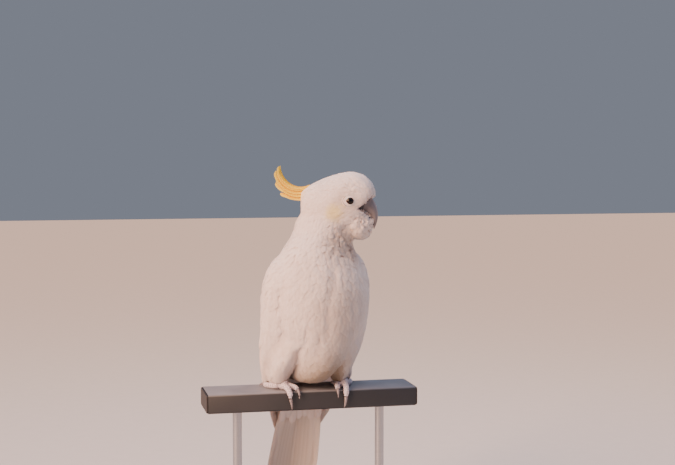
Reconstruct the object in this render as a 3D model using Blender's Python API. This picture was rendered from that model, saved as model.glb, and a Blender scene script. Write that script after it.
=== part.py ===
"""A sulphur-crested cockatoo, life size, perched on a cut length of handrail held by a plain stand.

World frame: metres, +Z up, origin at the middle of the base plate's underside, rail along X.
The bird is modelled in its own frame: origin on the rail top between the feet, -Y forward,
+X to the bird's left. The head has a frame of its own, turned to the bird's left.
"""

import math

import bmesh
import bpy
import numpy as np
from mathutils import Matrix, Vector

MM = 0.001
GAP = 0.4 * MM                        # clearance left between neighbouring solids

# Stand and perch
BASE_SIZE = (250 * MM, 210 * MM, 16 * MM)
BASE_CORNER = 24 * MM
BASE_BEVEL = 2.5 * MM
RAIL_TOP = 222 * MM
RAIL_LENGTH = 280 * MM
RAIL_DEPTH = 66 * MM
RAIL_HEIGHT = 25 * MM
RAIL_BEVEL = 3 * MM
RAIL_Y = 13 * MM                      # middle of the rail; the toes hook over its front edge
ROD_RADIUS = 6 * MM
ROD_X = 96 * MM
ROD_SIDES = 24

# Bird
BIRD_X = 10 * MM                      # the bird sits a little to its left of the rail's middle
BODY_YAW = math.radians(7.5)
HEAD_CENTRE = (31 * MM, -16.5 * MM, 247 * MM)
HEAD_YAW = math.radians(63)           # on top of the body's yaw
TRUNK_SIDES = 32
RING_STEPS = 26
VOXEL = 3.2 * MM
FLESH_TRIANGLES = 1180

# Trunk and neck rings, from the belly up: height, centre x, front y, back y, half width, yaw in degrees
TRUNK = [
    (7, -8, -8, 62, 20, 0),
    (13, -8, -25, 72, 25.5, 0),
    (26, -5, -40, 76, 31, 0),
    (48, 0, -51, 75, 41, 0),
    (74, 0, -58, 70, 56, 0),
    (98, 0, -61, 64, 64, 0),
    (132, 0, -60, 56, 65.5, 0),
    (156, -0.5, -56, 51, 61.5, 4),
    (174, -1, -50, 45, 54.5, 12),
    (190, 0.5, -44, 40, 46, 28),
    (206, 5, -40, 38, 38, 44),
    (224, 11.5, -38, 39, 35.5, 58),
    (240, 22, -30, 30, 28, 63),
]
# Rump and tail coverts: height, front y, back y, half width
RUMP = [
    (48, 22, 73, 49),
    (20, 39, 80, 47),
    (-4, 54, 85, 40),
    (-26, 65, 90, 30),
    (-44, 77, 94, 18),
]
# Skull rings in the head frame: forward distance, top, bottom, half width
SKULL = [
    (-58, 11, -16, 8),
    (-52, 16.5, -27, 17),
    (-46, 20, -32, 22),
    (-32, 27, -37, 27),
    (-14, 33.5, -40, 30.5),
    (4, 37.8, -40, 31),
    (18, 37, -34, 29),
    (29, 31, -20, 24.5),
    (36, 23, -6, 18.5),
    (39.8, 14, 2, 8),
]
# Fluffed cheek and chin feathers: centre forward, centre up, radii (forward, side, up)
BEARD = [
    ((19, 0, -31), (16.5, 23, 20)),
    ((22, 0, -37), (14, 17, 15.5)),
]
# Feathered thighs from the ankle up: height, middle x of the pair, x out from it, y, half width, half depth
THIGH = [
    (8.5, -3, 40, 3, 9.5, 10),
    (20, -1.5, 41, 3, 13.5, 16),
    (36, 2.5, 39.5, 2, 16, 25),
    (57, 9, 36.5, 0, 18.5, 32),
    (78, 11, 31, 3, 20, 35),
    (94, 11, 25, 6, 15, 28),
    (104, 11, 22, 8, 7, 14),
]
THIGH_SIDES = 16
# The section that a folded wing wraps, below the shoulders: height, centre y, half width, half depth
WRAP = [
    (94, 3, 63.5, 63),
    (70, 13, 63, 58),
    (45, 27, 62, 51),
    (20, 38, 60.5, 46),
    (0, 46, 57.5, 43),
    (-34, 58, 50, 36),
    (-64, 70, 42, 32),
    (-94, 83, 33, 29),
    (-112, 90, 25, 27),
]
# Folded wing, down from the shoulder: height, start and end angle round that section
# (0 is forward, 90 the side, 180 the back), thickness
WING = [
    (176, 84, 100, 1.5),
    (166, 66, 138, 6),
    (148, 62, 160, 9),
    (118, 67, 171, 10),
    (86, 69, 176, 10),
    (56, 68, 177, 9.5),
    (28, 79, 177, 9),
    (8, 97, 177, 8.5),
    (-6, 107, 177, 8),
    (-34, 113, 177, 6.5),
    (-64, 126, 176, 4.5),
    (-94, 145, 174, 3),
    (-108, 155, 171, 1.6),
]
LEFT_DRAWN_IN = 0.5
RIGHT_FULLER = 2.8                    # the right wing stands out this much more at its middle
WING_STEPS = 18
WING_ROUND = 8                        # points across a wing's face
# Tail: distance along it, half width, thickness
TAIL_ROOT = (0.0, 66 * MM, -2 * MM)
TAIL_SLOPE = math.radians(66)         # below the horizontal
TAIL = [
    (0, 20, 14), (30, 29, 12), (80, 34, 8), (130, 37, 5.5), (156, 36.5, 4), (168, 33.5, 3), (175, 26, 2.2),
    (178, 15, 1.4),
]
TAIL_STEPS = 20
TAIL_SIDES = 12
TAIL_ARCH = 0.22                      # how far the tail's edges droop, as a share of half width
# Yellow crest: arcs round one centre in the head's middle plane
CREST_CENTRE = (-58 * MM, 43 * MM)
# radius, start angle, tip angle, radial thickness, half width
CREST = [
    (27.6, 74, 185, 4.6, 4.6),
    (32.4, 74, 172, 4.2, 5.0),
    (37.0, 74, 150, 4.2, 5.0),
    (41.6, 76, 125, 4.2, 4.4),
]
# Bill: points (forward, up) of the ridge and of the cutting edge, half width, from the base to the tip
BILL_UPPER = [
    ((31, 8), (13, -10.5), 10.2),
    ((36.8, 2), (20, -12.0), 9.8),
    ((40.8, -6), (26.5, -13.5), 8.6),
    ((42.9, -14), (31.5, -16.5), 6.8),
    ((43.0, -22.5), (35, -22), 4.9),
    ((41.2, -30), (36.8, -29), 3.0),
    ((38.4, -36.6), (37.5, -36.2), 0.7),
]
BILL_LOWER = [
    ((33.5, -18.5), (15, -25), 7.6),
    ((35.4, -22.5), (21, -30.5), 7.2),
    ((36.7, -26.5), (28, -32.5), 5.4),
    ((36.9, -29.5), (33.5, -32.0), 2.4),
]
EYE_PLACE = (26.4 * MM, -8.9 * MM, 0.5 * MM)
EYE_RADIUS = 6.6 * MM


# Feet: side, place along the rail in mm, and how far each is turned in, in degrees
FEET = {"left": (1, 42.5, 3), "right": (-1, -38, 16)}
# A foot's pieces are given from its ankle, in mm: x away from the body's middle, y back, z up from the rail
SHANK = [((0, 4, 17), 6.2), ((0, 2, 12.5), 6.4), ((0, -1, 8), 7.6), ((0, -5, 6.4), 7.0), ((0, -8.5, 5.6), 4.0)]
# Each toe and its claw: route points and radii. Two toes point forward over the rail's front edge
# and two point back along its top.
TOES = {
    "2": {
        "toe": [((-6, -5, 6), 3.6), ((-8.4, -11, 5.2), 3.7), ((-9.8, -18, 4.6), 3.5), ((-10.4, -23, 3), 2.9)],
        "claw": [
            ((-10.4, -24.2, 2.4), 2.1), ((-10.5, -27.6, -0.8), 1.7), ((-10.4, -28.8, -5), 1.2),
            ((-10.2, -28.2, -9), 0.35),
        ],
    },
    "3": {
        "toe": [
            ((1.6, -8, 6.4), 4.0), ((1.6, -14, 5.6), 4.1), ((1.4, -20, 3.4), 3.9), ((1, -24.4, -2), 3.7),
            ((0.6, -24.6, -7.5), 3.2),
        ],
        "claw": [
            ((0.4, -24.8, -9), 2.3), ((0, -26.2, -13.5), 1.9), ((-0.9, -26, -18.5), 1.3),
            ((-2, -24, -23), 0.35),
        ],
    },
    "4": {
        "toe": [((5.5, 1, 5.4), 3.9), ((9.5, 8, 4.6), 3.9), ((12.5, 16, 4.2), 3.7), ((14.5, 24, 3.9), 3.1)],
        "claw": [
            ((14.9, 25.6, 3.9), 2.2), ((15.8, 29.2, 4), 1.8), ((16.4, 33, 2.8), 1.2), ((16.7, 36, 0.8), 0.35),
        ],
    },
    "1": {
        "toe": [((-5.5, 2.5, 5), 3.6), ((-8, 8, 4.3), 3.6), ((-9.6, 14, 3.9), 3.0)],
        "claw": [
            ((-10, 15.6, 3.8), 2.1), ((-10.8, 19, 3.8), 1.7), ((-11.4, 22.2, 2.6), 1.1),
            ((-11.7, 24.8, 0.8), 0.35),
        ],
    },
}
TOE_SIDES = 8

COLOURS = {                            # linear colour, metallic, roughness
    "feather": ((0.80, 0.76, 0.71), 0.0, 0.8),
    "crest": ((0.80, 0.55, 0.16), 0.0, 0.7),
    "bill": ((0.075, 0.068, 0.07), 0.0, 0.45),
    "eye": ((0.012, 0.008, 0.006), 0.0, 0.08),
    "leg": ((0.30, 0.26, 0.26), 0.0, 0.75),
    "claw": ((0.13, 0.12, 0.12), 0.0, 0.5),
    "rail": ((0.22, 0.19, 0.19), 0.2, 0.45),
    "steel": ((0.35, 0.35, 0.36), 1.0, 0.3),
    "base": ((0.06, 0.055, 0.05), 0.0, 0.5),
}


def material(name):
    """The Principled material of that name, made once."""
    found = bpy.data.materials.get(name)
    if found:
        return found
    colour, metallic, roughness = COLOURS[name]
    made = bpy.data.materials.new(name)
    made.use_nodes = True
    shader = made.node_tree.nodes["Principled BSDF"]
    shader.inputs["Base Color"].default_value = (*colour, 1)
    shader.inputs["Metallic"].default_value = metallic
    shader.inputs["Roughness"].default_value = roughness
    made.diffuse_color = (*colour, 1)
    return made


def add(name, mesh, finish, parent=None):
    """A new object with its material, shaded smooth."""
    thing = bpy.data.objects.new(name, mesh)
    bpy.context.scene.collection.objects.link(thing)
    mesh.materials.clear()
    mesh.materials.append(material(finish))
    mesh.shade_smooth()
    mesh.set_sharp_from_angle(angle=math.radians(50))
    thing.parent = parent
    return thing


def empty(name, place, yaw, parent=None):
    """A frame for the pieces below it."""
    thing = bpy.data.objects.new(name, None)
    bpy.context.scene.collection.objects.link(thing)
    thing.location = place
    thing.rotation_euler = (0, 0, yaw)
    thing.parent = parent
    return thing


def smooth_rows(table, steps):
    """A Catmull-Rom curve through the rows of a table, read at equal steps of its length."""
    rows = np.array(table, float)
    rows = np.vstack([2 * rows[0] - rows[1], rows, 2 * rows[-1] - rows[-2]])
    chord = np.linalg.norm(np.diff(rows[1:-1], axis=0), axis=1)
    knots = np.concatenate([[0], np.cumsum(chord)])
    at = np.interp(np.linspace(0, knots[-1], steps), knots, np.arange(len(knots)))
    k = np.minimum(at.astype(int), len(knots) - 2)
    t = (at - k)[:, None]
    a, b, c, d = rows[k], rows[k + 1], rows[k + 2], rows[k + 3]
    return 0.5 * (2 * b + (c - a) * t + (2 * a - 5 * b + 4 * c - d) * t**2 + (3 * b - a - 3 * c + d) * t**3)


def skin_rings(name, rings):
    """A closed mesh over rings of points, with a pole at each end."""
    rings = np.asarray(rings, float)
    count, sides, _ = rings.shape
    points = np.vstack([rings.reshape(-1, 3), rings[0].mean(0), rings[-1].mean(0)])
    first, last = count * sides, count * sides + 1
    faces = []
    for j in range(sides):
        n = (j + 1) % sides
        for start in range(0, (count - 1) * sides, sides):
            faces.append((start + j, start + n, start + sides + n, start + sides + j))
        faces.append((first, n, j))
        faces.append((last, (count - 1) * sides + j, (count - 1) * sides + n))
    mesh = bpy.data.meshes.new(name)
    mesh.from_pydata(points.tolist(), [], faces)
    return outward(mesh)


def outward(mesh):
    """Turns the faces of a closed mesh to point out."""
    bm = bmesh.new()
    bm.from_mesh(mesh)
    bmesh.ops.recalc_face_normals(bm, faces=bm.faces)
    if bm.calc_volume(signed=True) < 0:
        bmesh.ops.reverse_faces(bm, faces=bm.faces)
    bm.to_mesh(mesh)
    bm.free()
    return mesh


def circle(sides):
    angle = np.arange(sides) * 2 * math.pi / sides
    return np.cos(angle), np.sin(angle)


def tube(name, route, steps, sides=TOE_SIDES):
    """A round tube along a route of (point, radius) in mm, its ends rounded in by their own radii."""
    rows = smooth_rows([(*p, r) for p, r in route], steps) * MM
    places, radii = rows[:, :3], rows[:, 3]
    ways = np.gradient(places, axis=0)
    ways /= np.linalg.norm(ways, axis=1)[:, None]
    side = np.cross(ways, (0, 0, 1.0)) + np.cross(ways, (0, 1.0, 0)) * 1e-3
    side /= np.linalg.norm(side, axis=1)[:, None]
    up = np.cross(side, ways)
    c, s = circle(sides)
    rings = places[:, None] + radii[:, None, None] * (side[:, None] * c[:, None] + up[:, None] * s[:, None])
    return skin_rings(name, rings)


def grown(thing, by):
    """A hidden copy of an object, larger all round, for cutting its neighbours clear of it."""
    graph = bpy.context.evaluated_depsgraph_get()
    mesh = bpy.data.meshes.new_from_object(thing.evaluated_get(graph))
    points = np.empty(len(mesh.vertices) * 3)
    normals = np.empty(len(mesh.vertices) * 3)
    mesh.vertices.foreach_get("co", points)
    mesh.vertex_normals.foreach_get("vector", normals)
    mesh.vertices.foreach_set("co", points + normals * by)
    cutter = bpy.data.objects.new(thing.name + ".cutter", mesh)
    bpy.context.scene.collection.objects.link(cutter)
    cutter.parent = thing.parent
    cutter.hide_render = True
    cutter.display_type = "WIRE"
    return cutter


def cut_clear(thing, *others, gap=GAP, solver="EXACT"):
    """Cuts an object back from its neighbours, leaving the gap."""
    bpy.context.view_layer.update()
    for other in others:
        boolean = thing.modifiers.new(other.name, "BOOLEAN")
        boolean.operation = "DIFFERENCE"
        boolean.solver = solver
        boolean.object = grown(other, gap)


# The body

def trunk_sections():
    """The trunk and neck rings' rows at equal steps, in metres and radians."""
    rows = smooth_rows(TRUNK, 2 * RING_STEPS)
    rows[:, :5] *= MM
    rows[:, 5] = np.radians(rows[:, 5])
    return rows


def trunk_mesh():
    c, s = circle(TRUNK_SIDES)
    rings = []
    for z, x, front, back, half, yaw in trunk_sections():
        side, ahead = half * s, (back - front) / 2 * -c
        rings.append(np.column_stack([
            x + side * math.cos(yaw) - ahead * math.sin(yaw),
            (front + back) / 2 + side * math.sin(yaw) + ahead * math.cos(yaw),
            np.full(TRUNK_SIDES, z),
        ]))
    return skin_rings("trunk_form", rings)


def rump_mesh():
    c, s = circle(TRUNK_SIDES)
    rows = smooth_rows(RUMP, RING_STEPS) * MM
    rings = [
        np.column_stack([half * s, (front + back) / 2 - (back - front) / 2 * c, np.full(TRUNK_SIDES, z)])
        for z, front, back, half in rows
    ]
    return skin_rings("rump_form", rings)


def skull_mesh():
    c, s = circle(TRUNK_SIDES)
    rows = smooth_rows(SKULL, RING_STEPS) * MM
    rings = [
        np.column_stack([half * s, np.full(TRUNK_SIDES, -ahead), (top + low) / 2 + (top - low) / 2 * c])
        for ahead, top, low, half in rows
    ]
    return skin_rings("skull_form", rings)


def beard_mesh(index):
    (ahead, x, up), (along, side, high) = BEARD[index]
    bm = bmesh.new()
    bmesh.ops.create_uvsphere(bm, u_segments=24, v_segments=14, radius=1)
    stretch = Matrix.Diagonal((side * MM, along * MM, high * MM, 1))
    bm.transform(Matrix.Translation(Vector((x, -ahead, up)) * MM) @ stretch)
    mesh = bpy.data.meshes.new("beard_form")
    bm.to_mesh(mesh)
    bm.free()
    return mesh


def head_matrix():
    return Matrix.Translation(HEAD_CENTRE) @ Matrix.Rotation(HEAD_YAW, 4, "Z")


def flesh():
    """Trunk, neck, skull and cheeks run together as one smooth closed surface, in the bird's frame."""
    head = head_matrix()
    forms = [(trunk_mesh(), None), (rump_mesh(), None), (skull_mesh(), head)]
    forms += [(beard_mesh(k), head) for k in range(len(BEARD))]
    bm = bmesh.new()
    for mesh, matrix in forms:
        if matrix:
            mesh.transform(matrix)
        bm.from_mesh(mesh)
    joined = bpy.data.meshes.new("flesh_form")
    bm.to_mesh(joined)
    bm.free()
    form = add("flesh_form", joined, "feather")
    remesh = form.modifiers.new("one_surface", "REMESH")
    remesh.mode = "VOXEL"
    remesh.voxel_size = VOXEL
    relax = form.modifiers.new("relax", "SMOOTH")
    relax.factor = 0.5
    relax.iterations = 10
    thin = form.modifiers.new("thin", "DECIMATE")
    bpy.context.view_layer.update()
    graph = bpy.context.evaluated_depsgraph_get()
    faces = len(form.evaluated_get(graph).data.polygons)
    thin.ratio = 1.0
    thin.use_collapse_triangulate = True
    bpy.context.view_layer.update()
    full = sum(len(p.vertices) - 2 for p in form.evaluated_get(graph).data.polygons)
    thin.ratio = min(1.0, FLESH_TRIANGLES / max(full, faces))
    bpy.context.view_layer.update()
    mesh = bpy.data.meshes.new_from_object(form.evaluated_get(bpy.context.evaluated_depsgraph_get()))
    bpy.data.objects.remove(form)
    return mesh


def part_of(mesh, name, *planes):
    """The part of a closed mesh on the far side of each (point, normal) plane, closed again."""
    bm = bmesh.new()
    bm.from_mesh(mesh)
    for point, normal in planes:
        normal = Vector(normal).normalized()
        everything = bm.verts[:] + bm.edges[:] + bm.faces[:]
        middle = Vector(point) + normal * GAP / 2
        bmesh.ops.bisect_plane(
            bm, geom=everything, dist=1e-7, plane_co=middle, plane_no=normal, clear_inner=True
        )
        rim = [edge for edge in bm.edges if edge.is_boundary]
        bmesh.ops.contextual_create(bm, geom=rim)
    bmesh.ops.triangulate(bm, faces=bm.faces)
    part = bpy.data.meshes.new(name)
    bm.to_mesh(part)
    bm.free()
    return outward(part)


def build_flesh(bird):
    """Head, neck and trunk, parted by thin cuts in one smooth surface."""
    mesh = flesh()
    head_cut = head_matrix() @ Vector((0, 24 * MM, -34 * MM))
    head_up = head_matrix().to_3x3() @ Vector((0, -0.46, 0.89))
    neck_cut, neck_up = Vector((0, 0, 172 * MM)), Vector((0, -0.16, 0.99))
    parts = {
        "head": part_of(mesh, "head", (head_cut, head_up)),
        "neck": part_of(mesh, "neck", (head_cut, -head_up), (neck_cut, neck_up)),
        "trunk": part_of(mesh, "trunk", (neck_cut, -neck_up)),
    }
    return {name: add(name, part, "feather", bird) for name, part in parts.items()}


# The head's own pieces

def build_eyes(head_frame):
    eyes = []
    for side, sign in (("left", 1), ("right", -1)):
        bm = bmesh.new()
        bmesh.ops.create_uvsphere(bm, u_segments=16, v_segments=9, radius=EYE_RADIUS)
        mesh = bpy.data.meshes.new("eye")
        bm.to_mesh(mesh)
        bm.free()
        x, y, z = EYE_PLACE
        mesh.transform(Matrix.Translation((sign * x, y, z)))
        eyes.append(add(f"eye_{side}", mesh, "eye", head_frame))
    return eyes


def bill_mesh(name, stations, steps, keel):
    """Rings between the culmen and the cutting edge, drawn in at the ridge by the keel's share."""
    c, s = circle(16)
    rows = smooth_rows([(*top, *low, half) for top, low, half in stations], steps) * MM
    rings = []
    for top_ahead, top_up, low_ahead, low_up, half in rows:
        middle = np.array([0, -(top_ahead + low_ahead) / 2, (top_up + low_up) / 2])
        rise = np.array([0, -(top_ahead - low_ahead) / 2, (top_up - low_up) / 2])
        side = half * s * (1 - keel * np.maximum(c, 0) ** 2)
        rings.append(middle + c[:, None] * rise + side[:, None] * np.array([1.0, 0, 0]))
    return skin_rings(name, rings)


def build_bill(head_frame):
    upper = add("bill_upper", bill_mesh("bill_upper", BILL_UPPER, 12, 0.22), "bill", head_frame)
    lower = add("bill_lower", bill_mesh("bill_lower", BILL_LOWER, 7, 0.0), "bill", head_frame)
    cut_clear(lower, upper)
    return [upper, lower]


def build_crest(head_frame, head):
    """Sickle feathers round one centre, each a blade that tapers to a tip."""
    c, s = circle(8)
    for k, (radius, start, tip, thickness, half) in enumerate(CREST, 1):
        rings = []
        for t in np.linspace(0, 1, 11):
            angle = math.radians(start + (tip - start) * t)
            taper = (0.72 + 0.28 * min(1, t / 0.4)) * math.sqrt(max(1 - t**3.2, 0.004))
            reach = radius * MM + c * thickness * MM / 2 * taper
            rings.append(np.column_stack([
                s * half * MM * taper,
                -(CREST_CENTRE[0] + reach * math.cos(angle)),
                CREST_CENTRE[1] - reach * math.sin(angle),
            ]))
        feather = add(f"crest_feather_{k}", skin_rings("crest", rings), "crest", head_frame)
        cut_clear(feather, head)


# Wings and tail

def wrapped_section(z):
    """Centre y, half width and half depth of the body that a folded wing lies on at one height."""
    trunk = smooth_rows(TRUNK, 60)
    below = smooth_rows(WRAP, 30)[::-1]
    trunk = trunk[trunk[:, 0] > WRAP[0][0]]
    table = np.vstack([below, np.column_stack([
        trunk[:, 0], (trunk[:, 2] + trunk[:, 3]) / 2, trunk[:, 4], (trunk[:, 3] - trunk[:, 2]) / 2
    ])])
    return [np.interp(z, table[:, 0], table[:, k]) for k in (1, 2, 3)]


def wing_mesh(sign):
    """Rings of a shell wrapped round the body's side: out along its face and back along its lining."""
    share = np.linspace(0, 1, WING_ROUND)
    swell = np.sqrt(np.sin(np.pi * np.clip(share, 0.004, 0.996)))
    rings = []
    for z, start, end, thickness in smooth_rows(WING, WING_STEPS):
        middle, half, depth = wrapped_section(z)
        if sign > 0:                                       # the left shoulder is drawn in
            thickness = max(1.3, thickness * (1 - LEFT_DRAWN_IN * min(max((z - 70) / 60, 0), 1)))
        else:
            thickness += RIGHT_FULLER * math.sin(math.pi * min(max((z - 5) / 150, 0), 1))
        sink = 2.5 * min(max((z - 0) / 30, 0), 1)          # the lining is sunk in the body, then cut clear
        around = np.radians(start + (end - start) * share)
        out = thickness * swell
        around = np.concatenate([around, around[-2:0:-1]])
        off = np.concatenate([out, -sink * swell[-2:0:-1]])
        rings.append(np.column_stack([
            sign * (half + off) * np.sin(around), middle - (depth + off) * np.cos(around), np.full(len(off), z)
        ]) * MM)
    return skin_rings("wing", rings)


def build_wings(bird, *neighbours):
    wings = []
    for side, sign in (("left", 1), ("right", -1)):
        wing = add(f"wing_{side}", wing_mesh(sign), "feather", bird)
        cut_clear(wing, *neighbours, gap=2 * GAP, solver="MANIFOLD")
        wings.append(wing)
    return wings


def build_tail(bird, *neighbours):
    c, s = circle(TAIL_SIDES)
    ahead = np.array([0, math.cos(TAIL_SLOPE), -math.sin(TAIL_SLOPE)])
    back = np.array([0, math.sin(TAIL_SLOPE), math.cos(TAIL_SLOPE)])
    rings = []
    for distance, half, thickness in smooth_rows(TAIL, TAIL_STEPS) * MM:
        lift = s * thickness / 2 - TAIL_ARCH * half * c**2
        rings.append(
            np.array(TAIL_ROOT) + ahead * distance + lift[:, None] * back
            + (c * half)[:, None] * np.array([1.0, 0, 0])
        )
    tail = add("tail", skin_rings("tail", rings), "feather", bird)
    cut_clear(tail, *neighbours, solver="MANIFOLD")        # EXACT leaves a loose edge beside the wings
    return tail


# Legs

def build_thigh(perch, name, sign, *neighbours):
    c, s = circle(THIGH_SIDES)
    rings = [
        np.column_stack([middle + x * sign + half * c, y + depth * s, np.full(THIGH_SIDES, z)]) * MM
        for z, middle, x, y, half, depth in smooth_rows(THIGH, 9)
    ]
    thigh = add(name, skin_rings(name, rings), "feather", perch)
    cut_clear(thigh, *neighbours)
    return thigh


def routed(route, side):
    """A foot's route in mm, turned in, mirrored for the right foot and set at its place along the rail."""
    sign, place, turn = FEET[side]
    c, s = math.cos(math.radians(turn)), math.sin(math.radians(turn))
    return [((place + sign * (x * c + y * s), y * c - x * s, z), radius) for (x, y, z), radius in route]


def build_foot(perch, side, thigh, rail):
    foot = add(f"foot_{side}", tube("foot", routed(SHANK, side), 7, 12), "leg", perch)
    cut_clear(foot, thigh, rail, solver="MANIFOLD")        # EXACT leaves a loose edge on the rail's bevel
    for number, routes in TOES.items():
        toe = add(f"toe_{side}_{number}", tube("toe", routed(routes["toe"], side), 8), "leg", perch)
        cut_clear(toe, foot, rail, thigh, solver="MANIFOLD")
        claw = add(f"claw_{side}_{number}", tube("claw", routed(routes["claw"], side), 6, 8), "claw", perch)
        cut_clear(claw, toe, rail)


# Perch and stand

def block(name, size, middle, finish, corner, bevel):
    """A box with rounded upright corners and eased edges."""
    bm = bmesh.new()
    bmesh.ops.create_cube(bm, size=1)
    bm.transform(Matrix.Translation(middle) @ Matrix.Diagonal((*size, 1)))
    if corner:
        upright = [e for e in bm.edges if abs((e.verts[0].co - e.verts[1].co).z) > size[2] / 2]
        bmesh.ops.bevel(bm, geom=upright, offset=corner, segments=5, affect="EDGES", profile=0.5)
    mesh = bpy.data.meshes.new(name)
    bm.to_mesh(mesh)
    bm.free()
    thing = add(name, mesh, finish)
    ease = thing.modifiers.new("ease", "BEVEL")
    ease.width = bevel
    ease.segments = 2
    ease.limit_method = "ANGLE"
    ease.angle_limit = math.radians(40)
    return thing


def build_stand():
    width, depth, height = BASE_SIZE
    block("stand_base", BASE_SIZE, (0, 0, height / 2), "base", BASE_CORNER, BASE_BEVEL)
    rail_size = (RAIL_LENGTH, RAIL_DEPTH, RAIL_HEIGHT)
    rail = block("perch_rail", rail_size, (0, RAIL_Y, RAIL_TOP - RAIL_HEIGHT / 2), "rail", 0, RAIL_BEVEL)
    low, high = height + GAP, RAIL_TOP - RAIL_HEIGHT - GAP
    for side, sign in (("left", -1), ("right", 1)):
        bm = bmesh.new()
        bmesh.ops.create_cone(
            bm, cap_ends=True, segments=ROD_SIDES, radius1=ROD_RADIUS, radius2=ROD_RADIUS, depth=high - low,
            matrix=Matrix.Translation((sign * ROD_X, RAIL_Y, (low + high) / 2)),
        )
        mesh = bpy.data.meshes.new("rod")
        bm.to_mesh(mesh)
        bm.free()
        add(f"stand_rod_{side}", mesh, "steel")
    return rail


def main():
    for thing in list(bpy.data.objects):
        bpy.data.objects.remove(thing)
    rail = build_stand()
    perch = empty("perch", (0, 0, RAIL_TOP), 0)
    bird = empty("bird", (BIRD_X, 0, RAIL_TOP), BODY_YAW)
    head_frame = empty("head_frame", HEAD_CENTRE, HEAD_YAW, bird)
    bpy.context.view_layer.update()
    body = build_flesh(bird)
    crown = body["head"]
    eyes = build_eyes(head_frame)
    bill = build_bill(head_frame)
    cut_clear(crown, *eyes, *bill)
    build_crest(head_frame, crown)
    thighs = {side: build_thigh(perch, f"thigh_{side}", FEET[side][0], body["trunk"]) for side in FEET}
    wings = build_wings(bird, body["trunk"], body["neck"], rail, *thighs.values())
    build_tail(bird, body["trunk"], *wings)
    for side in FEET:
        build_foot(perch, side, thighs[side], rail)


main()
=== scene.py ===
import math

import bpy
import numpy as np
import openvdb
from mathutils import Matrix, Vector
from mathutils.kdtree import KDTree


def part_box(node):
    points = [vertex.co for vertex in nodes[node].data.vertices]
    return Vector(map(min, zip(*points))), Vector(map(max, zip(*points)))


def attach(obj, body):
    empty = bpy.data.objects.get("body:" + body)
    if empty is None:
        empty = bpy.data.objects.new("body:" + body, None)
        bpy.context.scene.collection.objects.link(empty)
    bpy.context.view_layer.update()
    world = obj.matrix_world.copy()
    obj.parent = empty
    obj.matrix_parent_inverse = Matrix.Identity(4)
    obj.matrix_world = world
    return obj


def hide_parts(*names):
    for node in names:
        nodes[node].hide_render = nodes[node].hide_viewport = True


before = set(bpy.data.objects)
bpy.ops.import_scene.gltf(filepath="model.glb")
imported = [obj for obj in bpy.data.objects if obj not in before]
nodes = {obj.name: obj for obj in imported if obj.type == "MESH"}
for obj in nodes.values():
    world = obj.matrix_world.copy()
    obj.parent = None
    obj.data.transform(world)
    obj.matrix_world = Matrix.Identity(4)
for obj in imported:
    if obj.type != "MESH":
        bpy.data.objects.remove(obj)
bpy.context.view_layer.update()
mm = 0.001

# The bird stands on the rail's top, turned a little to its left. All tables below are in millimetres.
bird = {"groundX": 10, "turn": 7.5}


def turnAbout(degrees):
    c, s = math.cos(math.radians(degrees)), math.sin(math.radians(degrees))
    return np.array([[c, -s, 0], [s, c, 0], [0, 0, 1.0]])


def middleOf(node):
    low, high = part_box(node)
    return np.array((low + high) / 2)


birdAxes = turnAbout(bird["turn"])
birdPlace = np.array([bird["groundX"] * mm, 0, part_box("perch_rail")[1].z])

# The head's axes come from the two eyes: x to its left, y back, z up. The eye's look is the way it points,
# and its pupil and iris are in degrees from its middle.
eye = {"place": (26.4, -8.9, 0.5), "radius": 6.6, "look": (0.95, -0.3, 0.06), "pupil": 21, "iris": 43}
eyeAt = {1: middleOf("eye_left"), -1: middleOf("eye_right")}
headLeft = (eyeAt[1] - eyeAt[-1]) / np.linalg.norm(eyeAt[1] - eyeAt[-1])
headAxes = np.column_stack([headLeft, np.cross((0, 0, 1.0), headLeft), (0, 0, 1.0)])
headPlace = (eyeAt[1] + eyeAt[-1]) / 2 - headAxes @ np.array([0, eye["place"][1], eye["place"][2]]) * mm


def fromBird(p):
    return np.asarray(p) * mm @ birdAxes.T + birdPlace


def toBird(p):
    return (p - birdPlace) @ birdAxes / mm


def fromHead(p):
    return np.asarray(p) * mm @ headAxes.T + headPlace


def toHead(p):
    return (p - headPlace) @ headAxes / mm


def ease(x, low, high):     # 0 below low, 1 above high, smooth between
    t = np.clip((x - low) / (high - low), 0, 1)
    return t * t * (3 - 2 * t)


def mix(a, b, share):
    return a + (b - a) * share


def unit(v):
    return v / np.maximum(np.linalg.norm(v, axis=-1, keepdims=True), 1e-9)


def squareTo(v, axis):     # the part of a vector that is square to an axis, made 1 long
    return unit(v - axis * np.sum(v * axis, axis=-1, keepdims=True))


def swing(v, axis, angle):     # turns a vector about an axis that is square to it
    return unit(v * np.cos(angle) + np.cross(axis, v) * np.sin(angle))


def hump(t, middle, wide):     # 1 at the middle, falling off smoothly to both sides
    return np.exp(-((t - middle) / wide) ** 2)


def closeTo(p, middle, radii, inner, outer):
    # 1 round a middle, easing to 0 between two distances, which are counted in radii
    return 1 - ease(np.linalg.norm((p - np.array(middle)) / radii, axis=-1), inner, outer)


def curveThrough(table, steps):
    # A Catmull-Rom curve through the rows of a table, read at equal steps of its length
    rows = np.array(table, float)
    rows = np.vstack([2 * rows[0] - rows[1], rows, 2 * rows[-1] - rows[-2]])
    knots = np.concatenate([[0], np.cumsum(np.linalg.norm(np.diff(rows[1:-1], axis=0), axis=1))])
    at = np.interp(np.linspace(0, knots[-1], steps), knots, np.arange(len(knots)))
    k = np.minimum(at.astype(int), len(knots) - 2)
    t = (at - k)[:, None]
    a, b, c, d = rows[k], rows[k + 1], rows[k + 2], rows[k + 3]
    return 0.5 * (2 * b + (c - a) * t + (2 * a - 5 * b + 4 * c - d) * t**2 + (3 * b - a - 3 * c + d) * t**3)


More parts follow.
